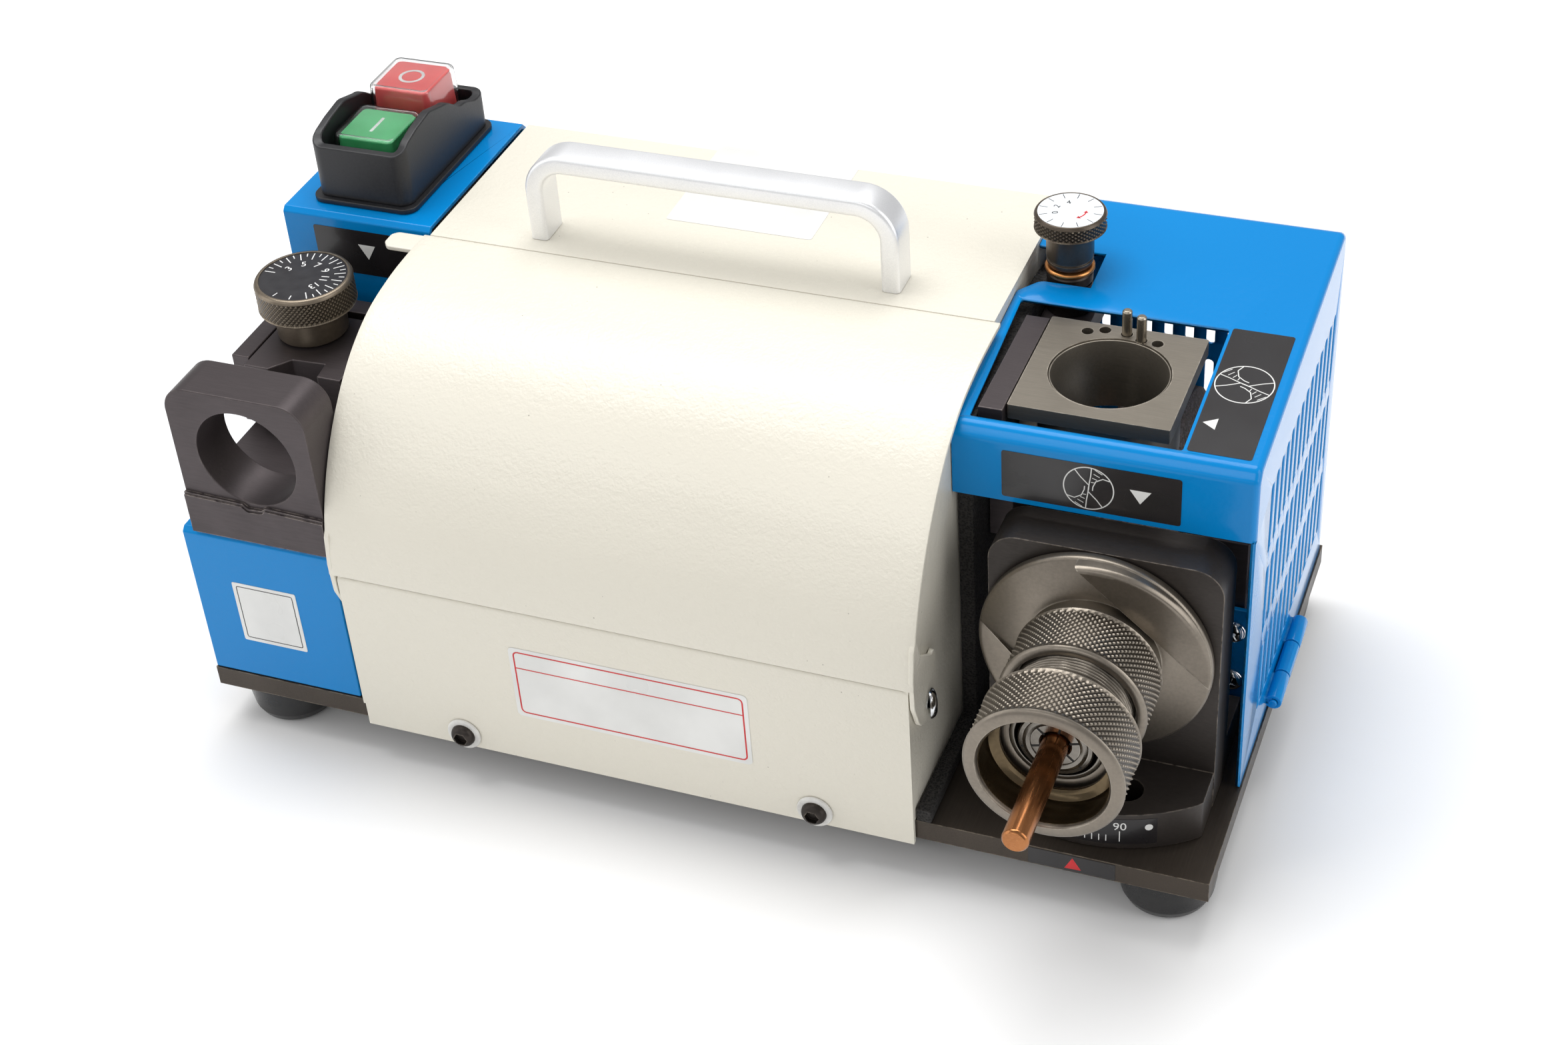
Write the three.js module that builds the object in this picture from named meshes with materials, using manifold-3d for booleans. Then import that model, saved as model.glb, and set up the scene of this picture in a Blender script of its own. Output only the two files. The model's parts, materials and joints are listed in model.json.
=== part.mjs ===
// Bench drill bit sharpener: grinding head with two point-grinding stations and a setting gauge.
// Millimetres, +Z up. X runs along the base plate, -Y is the operator's side.
import * as THREE from 'three'
import { mergeVertices } from 'three/addons/utils/BufferGeometryUtils.js'
import Module from 'manifold-3d'

const wasm = await Module()
wasm.setup()

// ---- driving dimensions -------------------------------------------------
// Everything below is drawn from the base plate's left front lower corner;
// SHIFT then carries that corner to the part's own origin (bottom centre).
const BASE_L = 320, BASE_W = 158, BASE_T = 7
const FOOT_H = 14.5
const Y_FRONT = -50.6, Y_BACK = 167.0      // drill shank end, cable gland end
const X_RIGHT = 324.5                      // hood hinge barrel
const SHIFT = new THREE.Vector3(-X_RIGHT / 2, -(Y_FRONT + Y_BACK) / 2, FOOT_H)

const CASE_X0 = 54.3, CASE_X1 = 234, CASE_TOP = 127, SHEET = 1.5
const SEAM_Y = 81.8, LID_BOTTOM = 58.7
const LID_PIVOT = [9.5, 45]                // y, z
const BOX_W = 52, BOX_STEP_Z = 63, BOX_FRONT_Y = 85.4, BOX_TOP = 126.6
const HOOD_X0 = 234.3, HOOD_X1 = 319.5, HOOD_Y0 = 40, HOOD_Y1 = 157, HOOD_T = 1.3
const HINGE = [322, 13.5]                  // x, z of the hood's hinge barrel
const SEAT_PIVOT = [281, 53], ARC_R = 48.5
const CHUCK = [279, 60]                    // x, z of the chuck's axis
const SPIN = [104, 56]                     // y, z of the motor spindle
const BORE = [270, 73]                     // x, y of the thinning bore
const WEB = [20, 61]                       // x, y of the gauge dial
const THIN = [246, 118]                    // x, y of the thinning dial

// ---- materials ----------------------------------------------------------
const M = (color, roughness, metalness, extra = {}) => new THREE.MeshStandardMaterial({ color, roughness, metalness, ...extra })
const cream = () => M(0xe9e4d2, 0.55, 0.0)
const blue = () => M(0x0b63b8, 0.35, 0.0)
const oxide = () => M(0x3a3734, 0.45, 0.8)
const steel = () => M(0x8b8880, 0.35, 0.9)
const nickel = () => M(0x8c857a, 0.38, 0.9)
const chrome = () => M(0xc9ccd0, 0.15, 1.0)
const rubber = () => M(0x0d0d0e, 0.4, 0.0)
const plastic = () => M(0x17171a, 0.55, 0.0)

// ---- geometry helpers ---------------------------------------------------
const group = new THREE.Group()
function add(name, geometry, material) {
  const g = geometry.clone()
  g.deleteAttribute('normal'); g.deleteAttribute('uv')
  const m = mergeVertices(g.index ? g : g, 1e-4)
  const mesh = new THREE.Mesh(m, material)
  mesh.name = name
  mesh.position.copy(SHIFT)
  group.add(mesh)
}
const shape = (pts, holes = []) => {
  const s = new THREE.Shape(pts.map(p => new THREE.Vector2(p[0], p[1])))
  for (const h of holes) s.holes.push(new THREE.Path(h.map(p => new THREE.Vector2(p[0], p[1]))))
  return s
}
const prism = (pts, depth, holes) => new THREE.ExtrudeGeometry(shape(pts, holes), { depth, bevelEnabled: false, steps: 1 })
const exZ = (pts, z0, z1, holes) => prism(pts, z1 - z0, holes).translate(0, 0, z0)
const exX = (pts, x0, x1, holes) => { // section in (y, z)
  const g = prism(pts, x1 - x0, holes)
  g.applyMatrix4(new THREE.Matrix4().set(0, 0, 1, x0, 1, 0, 0, 0, 0, 1, 0, 0, 0, 0, 0, 1))
  return g
}
const exY = (pts, y0, y1, holes) => { // section in (x, z)
  const g = prism(pts, y1 - y0, holes)
  g.applyMatrix4(new THREE.Matrix4().set(1, 0, 0, 0, 0, 0, -1, y1, 0, 1, 0, 0, 0, 0, 0, 1))
  return g
}
const box = (x0, x1, y0, y1, z0, z1) => new THREE.BoxGeometry(x1 - x0, y1 - y0, z1 - z0).translate((x0 + x1) / 2, (y0 + y1) / 2, (z0 + z1) / 2)
const ring = (cx, cy, r, n, a0 = 0) => Array.from({ length: n }, (_, i) => [cx + r * Math.cos(a0 + 2 * Math.PI * i / n), cy + r * Math.sin(a0 + 2 * Math.PI * i / n)])
const arc = (cx, cy, rx, ry, a0, a1, n) => Array.from({ length: n + 1 }, (_, i) => { const a = (a0 + (a1 - a0) * i / n) * Math.PI / 180; return [cx + rx * Math.cos(a), cy + ry * Math.sin(a)] })
// turned part: profile of [radius, height]; closed off on the axis when it doesn't close on itself
function turned(profile, seg) {
  const p = profile.slice()
  if (p[0][0] > 0 && !(p[0][0] === p[p.length - 1][0] && p[0][1] === p[p.length - 1][1])) p.push(p[0].slice())
  const g = new THREE.LatheGeometry(p.map(q => new THREE.Vector2(q[0], q[1])), seg)
  return g
}
const latheZ = (prof, seg, x, y) => turned(prof, seg).rotateX(Math.PI / 2).translate(x, y, 0)
const latheY = (prof, seg, x, z) => turned(prof, seg).translate(x, 0, z)
const latheX = (prof, seg, y, z) => turned(prof, seg).rotateZ(-Math.PI / 2).translate(0, y, z)
const clean = g => { const c = g.clone(); c.deleteAttribute('normal'); c.deleteAttribute('uv'); return mergeVertices(c, 1e-4) }
function solid(g) {
  const c = clean(g)
  const idx = c.index.array, keep = []
  for (let i = 0; i < idx.length; i += 3) if (idx[i] !== idx[i + 1] && idx[i + 1] !== idx[i + 2] && idx[i] !== idx[i + 2]) keep.push(idx[i], idx[i + 1], idx[i + 2])
  return new wasm.Manifold(new wasm.Mesh({ numProp: 3, vertProperties: new Float32Array(c.attributes.position.array), triVerts: new Uint32Array(keep) }))
}
function mesh(man) {
  const m = man.getMesh()
  const g = new THREE.BufferGeometry()
  const v = new Float32Array(m.numVert * 3)
  for (let i = 0; i < m.numVert; i++) for (let k = 0; k < 3; k++) v[i * 3 + k] = m.vertProperties[i * m.numProp + k]
  g.setAttribute('position', new THREE.BufferAttribute(v, 3))
  g.setIndex(Array.from(m.triVerts))
  return g
}
const cut = (a, ...bs) => { let s = solid(a); for (const b of bs) s = s.subtract(solid(b)); return mesh(s) }
const join = (a, ...bs) => { let s = solid(a); for (const b of bs) s = s.add(solid(b)); return mesh(s) }

// ---- base plate and feet ------------------------------------------------
const footAt = { foot_front_left: [17.5, 15], foot_front_right: [305, 15], foot_rear_left: [17.5, BASE_W - 15], foot_rear_right: [305, BASE_W - 15] }
add('base_plate', exZ([[0, 0], [BASE_L, 0], [BASE_L, BASE_W], [0, BASE_W]], 0, BASE_T,
  [...Object.values(footAt).map(p => ring(p[0], p[1], 3, 8)), ring(...SEAT_PIVOT, 5.4, 12), ring(281, 15, 3.6, 10)]), oxide())
for (const [name, p] of Object.entries(footAt))
  add(name, latheZ([[0, -FOOT_H], [10.4, -FOOT_H], [12.4, -13.2], [13.7, -10.5], [14.2, -6], [14.4, -0.3], [0, -0.3]], 24, ...p), rubber())

// ---- casing: front panel, cheeks, back and the fixed rear top -----------
// side line of the curved front in (y, z), from the lid's lower edge up to the seam
const front = new THREE.SplineCurve([[-2.8, 58.7], [-2.3, 65], [-0.9, 72], [2.2, 81.5], [7.3, 91.8], [14.2, 101.8], [23.4, 111.4], [33, 118.4], [44.5, 123.6], [58, 126.2], [70, 127], [SEAM_Y, 127]].map(p => new THREE.Vector2(...p)))
const frontLine = (inset, n) => Array.from({ length: n + 1 }, (_, i) => {
  const p = front.getPoint(i / n), t = i === n ? new THREE.Vector2(1, 0) : i === 0 ? new THREE.Vector2(0, 1) : front.getTangent(i / n)
  return [p.x + t.y * inset, p.y - t.x * inset]
})
const cheek = frontLine(1.9, 14)
const caseOutline = [[155, -0.0 + BASE_T + 0.3], [155, 124.5], [152.5, CASE_TOP], [SEAM_Y + 0.3, CASE_TOP], ...cheek.slice().reverse().map(p => [p[0], p[1]]), [-2, 56.8], [-2, BASE_T + 0.3]]
const caseInner = [[153.5, 0], [153.5, 123.9], [151.9, CASE_TOP - SHEET], [SEAM_Y + 0.3, CASE_TOP - SHEET], [SEAM_Y - 6, 200], [-20, 200], [-20, 57.6], [-0.5, 57.6], [-0.5, 0]]
add('casing', mesh((() => {
  let s = solid(exX(caseOutline, CASE_X0, CASE_X1))
  s = s.subtract(solid(exX(caseInner, CASE_X0 + SHEET, CASE_X1 - SHEET)))
  s = s.add(solid(box(CASE_X0 + 0.6, CASE_X1, -2, -0.5, -1, BASE_T + 1)))
  s = s.add(solid(box(CASE_X0 + SHEET, CASE_X1 - SHEET, 0.5, 18, 64.8 - 16.5, 64.8 - 15)).subtract(solid(box(0, 400, -5, 400, 0, 0.1))))
  s = s.add(solid(box(CASE_X0 + SHEET - 0.2, CASE_X1 - SHEET + 0.2, -1, 18, 48.3, 49.8)))
  s = s.subtract(solid(exX(ring(...SPIN, 14, 16), CASE_X1 - 5, CASE_X1 + 5)))
  for (const x of [CASE_X0, CASE_X1]) s = s.subtract(solid(exX(ring(...LID_PIVOT, 2.4, 8), x - 3, x + 3)))
  for (const x of [88.9, 203.6]) s = s.subtract(solid(exY(ring(x, 4, 2.4, 8), -5, -0.1)))
  for (let i = 0; i < 8; i++) s = s.subtract(solid(box(92 + 14 * i, 98 + 14 * i, 150, 160, 30, 90)))
  return s
})()), cream())
for (const [side, x] of [['left', 88.9], ['right', 203.6]])
  add('front_screw_' + side, latheY([[0, -5.7], [1.6, -5.5], [3.0, -4.8], [3.7, -3.5], [3.8, -2.9], [5.4, -2.9], [5.4, -2.15], [2.1, -2.15], [2.1, -0.4], [0, -0.4]], 16, x, 4), oxide())

// lid: a quarter-round sheet with a pierced ear at each lower corner and a finger tab
const ear = [[-2.8, 62], [-1.8, 50], [2.2, 42.5], [7, 39.6], [12, 39.8], [15, 43], [16.2, 48], [17, 58], [15.8, 60], [13.8, 59.4], [2.4, 67.5], [0.6, 76], [-1.9, 72]]
add('lid', mesh((() => {
  let s = solid(exX([...frontLine(0, 16), ...frontLine(SHEET, 16).reverse()].reverse(), CASE_X0 - 1.9, CASE_X1 + 1.9))
  for (const x of [CASE_X0 - 1.9, CASE_X1 + 0.4]) s = s.add(solid(exX(ear, x, x + SHEET)))
  s = s.add(solid(exZ([[CASE_X0 + 2, SEAM_Y - 9], [44, SEAM_Y - 9], [42.2, SEAM_Y - 7], [42.2, SEAM_Y - 3], [44, SEAM_Y - 0.6], [CASE_X0 + 2, SEAM_Y - 0.6]].reverse(), CASE_TOP - SHEET, CASE_TOP - 0.05)))
  for (const x of [CASE_X0, CASE_X1]) s = s.subtract(solid(exX(ring(...LID_PIVOT, 2.4, 8), x - 4, x + 4)))
  return s
})()), cream())
add('lid_pivot_screw_right', latheX([[0, CASE_X1 - 4], [2.1, CASE_X1 - 4], [2.1, CASE_X1 + 2.2], [4.7, CASE_X1 + 2.2], [4.5, CASE_X1 + 3.4], [3, CASE_X1 + 4.3], [0, CASE_X1 + 4.6]], 16, ...LID_PIVOT), chrome())
add('lid_pivot_screw_left', latheX([[0, CASE_X0 + 4], [2.1, CASE_X0 + 4], [2.1, CASE_X0 - 2.2], [4.7, CASE_X0 - 2.2], [4.5, CASE_X0 - 3.4], [3, CASE_X0 - 4.3], [0, CASE_X0 - 4.6]].reverse(), 16, ...LID_PIVOT), chrome())

// carrying handle: a flat bow standing on the fixed rear top
{
  const x0 = 85.5, x1 = 203.6, t = 5.8, top = 156.5, z0 = CASE_TOP + 0.1, R = 17, r = R - t
  const outer = [[x0, z0], ...arc(x0 + R, top - R, R, R, 180, 90, 6), ...arc(x1 - R, top - R, R, R, 90, 0, 6), [x1, z0]]
  const inner = [[x1 - t, z0], ...arc(x1 - R, top - R, r, r, 0, 90, 5), ...arc(x0 + R, top - R, r, r, 90, 180, 5), [x0 + t, z0]]
  add('carry_handle', exY([...outer, ...inner].reverse(), 88, 99.6), M(0xbfc2c4, 0.35, 0.9))
}

// ---- collet rack under the lid -----------------------------------------
const stored = [3, 5, 7, 10, 13]
add('collet_rack', exZ([[58, 3], [230.5, 3], [230.5, 45], [58, 45]], 60, 63, stored.map((_, i) => ring(80 + 32 * i, 26, 9.2, 12))), steel())
stored.forEach((d, i) => add('stored_collet_' + d, latheZ([[d / 2, 52], [6.4, 52], [8.6, 60], [8.7, 63.3], [10.4, 63.3], [10.4, 78], [7.6, 82], [d / 2, 82]], 12, 80 + 32 * i, 26), nickel()))

// ---- left housing with the switch --------------------------------------
{
  const o = [[0.3, BASE_T + 0.2], [155, BASE_T + 0.2], [155, 124.6], [153, BOX_TOP], [BOX_FRONT_Y + 1.5, BOX_TOP], [BOX_FRONT_Y, 125.1], [BOX_FRONT_Y, BOX_STEP_Z], [1.8, BOX_STEP_Z], [0.3, 61.5]]
  const i = [[1.8, 0], [153.5, 0], [153.5, 124], [152.4, BOX_TOP - 1.5], [BOX_FRONT_Y + 2.1, BOX_TOP - 1.5], [BOX_FRONT_Y + 1.5, 124.5], [BOX_FRONT_Y + 1.5, BOX_STEP_Z - 1.5], [2.4, BOX_STEP_Z - 1.5], [1.8, 60.9]]
  let s = solid(exX(o, 0.2, BOX_W))
  s = s.subtract(solid(exX(i, 1.7, BOX_W + 5)))
  s = s.subtract(solid(box(12, 39.5, 94, 147, 120, 130)))
  s = s.subtract(solid(exY(ring(26, 40, 6.3, 12), 150, 160)))
  add('left_housing', mesh(s), blue())
}
add('cable_gland', latheY([[4, 154.7 - 6], [6, 148.7], [6, 155.4], [9.5, 155.4], [9.5, 161], [7.6, 163], [7, Y_BACK], [4, Y_BACK]], 16, 26, 40), plastic())
// setting block with its large bore, and the floor the gauge stands on
{
  const R = 8, x0 = 5, x1 = 52, z0 = BOX_STEP_Z + 0.3, z1 = 116
  add('setting_block', exY([[x0, z0], [x1, z0], ...arc(x1 - R, z1 - R, R, R, 0, 90, 5), ...arc(x0 + R, z1 - R, R, R, 90, 180, 5)], 0.2, 17, [ring(29.4, 94, 16.4, 28)]), oxide())
}
add('gauge_floor', exZ([[5, 17.3], [52, 17.3], [52, 84.9], [5, 84.9]], BOX_STEP_Z + 0.3, 75, [ring(33, 27, 2.1, 8)]), oxide())
add('gauge_body', mesh((() => {
  let s = solid(box(1.8, 50.6, 41.5, 79.8, 75.3, 99.8))
  s = s.subtract(solid(box(7.9, 42, 30, 73, 79.5, 120)))
  return s.subtract(solid(latheZ([[0, 70], [3.6, 70], [3.6, 110], [0, 110]], 12, ...WEB)))
})()), oxide())
add('gauge_jaw', exZ([[8.3, 37.8], [16.7, 37.8], [21.8, 44.2], [32.8, 44.8], [33.6, 38], [41.6, 38], [41.6, 70], [8.3, 70]], 79.9, 99.7,
  [[[WEB[0] - 4.2, WEB[1] - 6.5], [WEB[0] + 4.2, WEB[1] - 6.5], [WEB[0] + 4.2, WEB[1] + 6.5], [WEB[0] - 4.2, WEB[1] + 6.5]]]), steel())
add('web_dial', latheZ([[0, 80.2], [3.3, 80.2], [3.3, 100.1], [11, 100.1], [11.3, 109.6], [14.6, 109.6], [15.3, 110.6], [15.3, 117.8], [14.4, 119.4], [13.7, 119.4], [13.7, 119.1], [0, 119.1]], 28, ...WEB), nickel())

// switch: insert through the roof, bezel, two push buttons under clear caps
add('switch_insert', cut(box(12.4, 39.1, 94.4, 146.6, 101, 126.3), box(14.5, 37, 97, 144, 104, 130)), plastic())
{
  const rim = [[90.6, 126.8], [150.3, 126.8], [150.3, 129], [149.6, 129.2], [148.8, 140.6], [143.4, 139.6], [134, 142.6], [122.2, 148.8], [113, 151.4], [104, 150.2], [93.4, 147.2], [92.6, 129.2], [90.6, 129]]
  let s = solid(exX(rim, 7.8, 43.8))
  s = s.subtract(solid(box(0, 9.9, 80, 160, 129, 170))).subtract(solid(box(41.5, 60, 80, 160, 129, 170)))
  s = s.subtract(solid(box(12.2, 39.2, 95.4, 146.9, 130.6, 170)))
  for (const [y0, y1] of [[98.5, 120.5], [123.3, 145.3]]) s = s.subtract(solid(box(17, 32.4, y0 + 3.4, y1 - 3.4, 120, 140)))
  add('switch_bezel', mesh(s), plastic())
}
const button = (name, y0, top, color) => {
  add(name + '_button', join(box(14.9, 34.7, y0 + 1.5, y0 + 20.5, 134.2, top - 1.3), box(18, 31.4, y0 + 4.4, y0 + 17.6, 117, 135)), M(color, 0.4, 0))
  add(name + '_cap', cut(box(13.4, 36.2, y0, y0 + 22, 134.2, top), box(14.5, 35.1, y0 + 1.1, y0 + 20.9, 120, top - 0.9)), M(0xdfe6ea, 0.1, 0, { transparent: true, opacity: 0.35 }))
}
button('start', 98.5, 147, 0x1f9a4c)
button('stop', 123.3, 151, 0xd2232a)

// ---- motor and grinding wheel on one spindle ---------------------------
add('motor_housing', latheX([[12.5, 76], [44, 76], [47, 80], [47, 198], [44, 202], [12.5, 202], [12.5, 196], [43.6, 196], [43.6, 82], [12.5, 82]], 22, ...SPIN), M(0x5a5d60, 0.5, 0.6))
add('motor_stator', latheX([[28, 104], [42.8, 104], [42.8, 176], [28, 176]], 22, ...SPIN), M(0x7a4a22, 0.5, 0.6))
add('rotor_shaft', latheX([[0, 60], [6, 60], [6, 110], [27, 110], [27, 170], [8, 170], [8, 250], [11, 250], [11, 263.7], [7.6, 263.7], [7.6, 298], [0, 298]], 16, ...SPIN), steel())
add('motor_bearing_left', latheX([[6.4, 76.5], [12.1, 76.5], [12.1, 81.5], [6.4, 81.5]], 12, ...SPIN), chrome())
add('motor_bearing_right', latheX([[8.4, 196.5], [12.1, 196.5], [12.1, 201.5], [8.4, 201.5]], 12, ...SPIN), chrome())
add('cooling_fan', latheX([[6.4, 61], [40, 61], [40, 64], [14, 64], [14, 72], [6.4, 72]], 16, ...SPIN), plastic())
add('grinding_wheel', latheX([[7.9, 264], [30, 264], [36, 267], [36, 285], [30, 288], [7.9, 288]], 32, ...SPIN), M(0x6e6a64, 0.9, 0.1))
add('wheel_nut', cut(exX(ring(...SPIN, 12, 6), 288.3, 296), exX(ring(...SPIN, 8, 12), 280, 300)), steel())

// ---- hood over the wheel ------------------------------------------------
{
  const o = [[HOOD_Y0, 7.6], [HOOD_Y0, 117.4], [41.2, 119.6], [43.8, 120.7], [153.4, 127.3], [156, 126.2], [HOOD_Y1, 123.6], [HOOD_Y1, 7.6]].reverse()
  const i = [[HOOD_Y0 + HOOD_T, 0], [HOOD_Y0 + HOOD_T, 117], [42.2, 118.7], [44.2, 119.4], [153, 126], [154.9, 125.2], [HOOD_Y1 - HOOD_T, 123.2], [HOOD_Y1 - HOOD_T, 0]].reverse()
  let s = solid(exX(o, HOOD_X0, HOOD_X1))
  s = s.subtract(solid(exX(i, HOOD_X0 - 5, HOOD_X1 - HOOD_T)))
  s = s.subtract(solid(box(HOOD_X0 - 5, HOOD_X1 - HOOD_T, HOOD_Y0 - 3, HOOD_Y0 + 3, 0, 97.3)))
  s = s.subtract(solid(box(236, 297.5, 44.9, 100, 110, 140)))
  s = s.subtract(solid(exZ([[230, 126.8], [254.6, 126.8], [254.6, 109.4], [238.5, 109.4], [235.6, 107.6], [233, 103.4], [230, 103.4]], 110, 140)))
  const rows = [[79.5, 103.2], [50.3, 74.1], [21.1, 44.9]]
  for (let k = 0; k < 14; k++) for (const [a, b] of rows) s = s.subtract(solid(box(HOOD_X1 - 4, HOOD_X1 + 4, 58.5 + 6.64 * k, 61.3 + 6.64 * k, a, b)))
  for (let k = 0; k < 10; k++) for (const [a, b] of rows) s = s.subtract(solid(box(246 + 6.64 * k, 248.8 + 6.64 * k, HOOD_Y1 - 4, HOOD_Y1 + 4, a, b)))
  s = s.subtract(solid(box(HOOD_X1 - 4, HOOD_X1 + 0.01, 83.7, 99.3, 0, 17.4)))
  for (const [a, b] of [[72, 84], [99, 111]]) {
    s = s.add(solid(box(HOOD_X1 - 1, HINGE[0] - 1.6, a, b, HINGE[1] - 1.2, HINGE[1] + 1.2)))
    s = s.add(solid(latheY([[1.35, a], [2.5, a], [2.5, b], [1.35, b]], 12, ...HINGE)))
  }
  s = s.subtract(solid(latheY([[0, 60], [1.35, 60], [1.35, 120], [0, 120]], 12, ...HINGE)))
  add('hood', mesh(s), blue())
}
add('hinge_pin', latheY([[0, 71.2], [1.0, 71.2], [1.0, 111.8], [0, 111.8]], 10, ...HINGE), steel())
{
  let s = solid(box(304.6, 313.5, 72.4, 73.9, 9.5, 46))
  s = s.add(solid(box(312, 313.5, 72.4, 98.4, 9.5, 22)))
  s = s.add(solid(box(312, 321, 84.6, 98.4, 9.5, 11)))
  s = s.add(solid(box(319.2, 321.2, 84.6, 98.4, 9.5, 13.5)))
  s = s.add(solid(latheY([[1.35, 84.6], [2.5, 84.6], [2.5, 98.4], [1.35, 98.4]], 12, ...HINGE)))
  s = s.subtract(solid(latheY([[0, 60], [1.35, 60], [1.35, 120], [0, 120]], 12, ...HINGE)))
  for (const z of [19.5, 38]) s = s.subtract(solid(exY(ring(309, z, 2.2, 8), 70, 75)))
  add('hinge_leaf', mesh(s), blue())
}
add('hinge_bracket', exX([[74.3, 7.3], [98, 7.3], [98, 8.9], [80, 8.9], [80, 69], [74.3, 69]], 297, 311.6), oxide())
for (const [n, z] of [['lower', 19.5], ['upper', 38]])
  add('hinge_screw_' + n, latheY([[0, 70.1], [2.6, 70.4], [3.7, 71.4], [3.8, 72.1], [1.9, 72.1], [1.9, 74.0], [0, 74.0]], 14, 309, z), chrome())

// ---- thinning station ---------------------------------------------------
add('guide_plate', join(exX([[48.5, 98], [58, 98], [58, 70], [92, 70], [92, 100], [128, 100], [128, 111.7], [95.8, 111.7], [95.8, 121.5], [48.5, 121.5]], 239.3, 246.4),
  box(240, 254.2, 108.5, 127.5, 104, 111.7)), oxide())
add('foam_strip', exX([[-0.5, 7.3], [152, 7.3], [152, 112], [120, 118.8], [46, 118.4], [44, 116], [44, 12], [-0.5, 12]], 234.4, 238.9, [ring(...SPIN, 15, 16)]), M(0x111111, 0.95, 0))
add('thinning_block', mesh((() => {
  let s = solid(box(246.9, 292.6, 50.9, 96.2, 117.4, 122))
  s = s.add(solid(latheZ([[0, 99], [20, 99], [20, 118], [0, 118]], 32, ...BORE)))
  s = s.add(solid(box(246.9, 254, 62, 88, 84, 118)))
  s = s.subtract(solid(latheZ([[0, 80], [16.5, 80], [16.5, 130], [0, 130]], 32, ...BORE)))
  for (const [x, y] of [[258.6, 91.5], [263.3, 93.3], [279.2, 90.4], [269.7, 92.9], [274.4, 90.9]]) s = s.subtract(solid(latheZ([[0, 117.8], [1.7, 117.8], [1.7, 130], [0, 130]], 8, x, y)))
  return s
})()), steel())
for (const [n, x, y] of [['left', 269.7, 92.9], ['right', 274.4, 90.9]])
  add('dowel_pin_' + n, latheZ([[0, 118.1], [1.45, 118.1], [1.45, 129.6], [1.1, 130.2], [0, 130.2]], 10, x, y), steel())
add('dial_socket', latheZ([[3.4, 112], [6.8, 112], [6.8, 123.6], [6, 124.8], [3.4, 124.8]], 16, ...THIN), oxide())
add('dial_ring', latheZ([[3.4, 125.1], [7.4, 125.1], [7.4, 126.7], [3.4, 126.7]], 16, ...THIN), M(0xb0672f, 0.35, 1))
add('thinning_dial', latheZ([[0, 112.4], [3, 112.4], [3, 127], [7, 127], [7, 139], [10, 139], [10.6, 139.8], [10.6, 143.6], [10.1, 144.5], [9.6, 144.5], [9.6, 144.3], [0, 144.3]], 24, ...THIN), oxide())

// ---- point station: swivelling seat, cam chuck, collet and drill -------
add('chuck_seat', mesh((() => {
  const [px, py] = SEAT_PIVOT
  const a = Math.asin(33.2 / ARC_R) * 180 / Math.PI
  const foot = [...arc(px, py, ARC_R, ARC_R, -90 - a, -90 + a, 14), [px + 33.2, 64], [px - 33.2, 64]]
  let s = solid(exZ(foot, BASE_T + 0.3, 20.5))
  const R = 8, x0 = 247.4, x1 = 314.4, z1 = 93
  s = s.add(solid(exY([[x0, 18], [x1, 18], ...arc(x1 - R, z1 - R, R, R, 0, 90, 5), ...arc(x0 + R, z1 - R, R, R, 90, 180, 5)], 30, 45)))
  s = s.subtract(solid(latheY([[0, 20], [25.2, 20], [25.2, 60], [0, 60]], 32, ...CHUCK)))
  const slot = [...arc(px, py, 42.8, 42.8, -106.5, -73.5, 6), ...arc(px + 38 * Math.cos(-73.5 * Math.PI / 180), py + 38 * Math.sin(-73.5 * Math.PI / 180), 4.8, 4.8, -73.5, 106.5, 5).slice(1, -1), ...arc(px, py, 33.2, 33.2, -73.5, -106.5, 6), ...arc(px + 38 * Math.cos(-106.5 * Math.PI / 180), py + 38 * Math.sin(-106.5 * Math.PI / 180), 4.8, 4.8, 73.5, 253.5, 5).slice(1, -1)]
  s = s.subtract(solid(exZ(slot, 0, 25)))
  s = s.subtract(solid(latheZ([[0, 0], [5.4, 0], [5.4, 30], [0, 30]], 14, px, py)))
  return s
})()), oxide())
add('seat_pivot_pin', latheZ([[0, 0.4], [4.9, 0.4], [4.9, 20.8], [7.5, 20.8], [7.5, 23.6], [0, 23.6]], 14, ...SEAT_PIVOT), steel())
add('seat_lock_screw', latheZ([[0, 0.4], [3.2, 0.4], [3.2, 20.8], [7, 20.8], [7, 22.2], [5.4, 22.2], [5.4, 27], [0, 27]], 16, 281, 15), oxide())
const chuckBody = () => {
  const [cx, cz] = CHUCK
  const prof = [[13.2, -11.5], [16.6, -11.5], [16.9, -10.9], [16.9, 8.4], [18.3, 8.4], [18.3, 2.8], [20, 2.8], [21, 3.8], [21, 19.6], [19.4, 23], [19.4, 25.9], [33.5, 25.9], [33.5, 29.6], [24.7, 29.6], [24.7, 47], [12, 47], [12, 30], [13.2, 24]]
  let s = solid(latheY(prof, 36, cx, cz))
  // two cam segments on the flange, each a sloping ring piece beyond a chord that runs at 45 degrees
  for (const sgn of [1, -1]) {
    const g = new THREE.Shape(), n = 16, pts = []
    const half = Math.acos(19.8 / 33.2)
    for (let i = 0; i <= n; i++) { const t = -half + 2 * half * i / n; pts.push([33.2 * Math.cos(t), 33.2 * Math.sin(t)]) }
    const seg = prism(pts, 4.6)
    // tilt the free face: high at one end of the chord, dying into the flange at the other
    const p = seg.attributes.position
    for (let i = 0; i < p.count; i++) if (p.getZ(i) > 2) p.setZ(i, 2.2 + 1.9 * (p.getY(i) / 26.7))
    seg.rotateZ(Math.PI / 4 + (sgn < 0 ? Math.PI : 0))
    seg.applyMatrix4(new THREE.Matrix4().set(1, 0, 0, cx, 0, 0, -1, 26.2, 0, 1, 0, cz, 0, 0, 0, 1))
    s = s.add(solid(seg))
  }
  return mesh(s)
}
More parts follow.
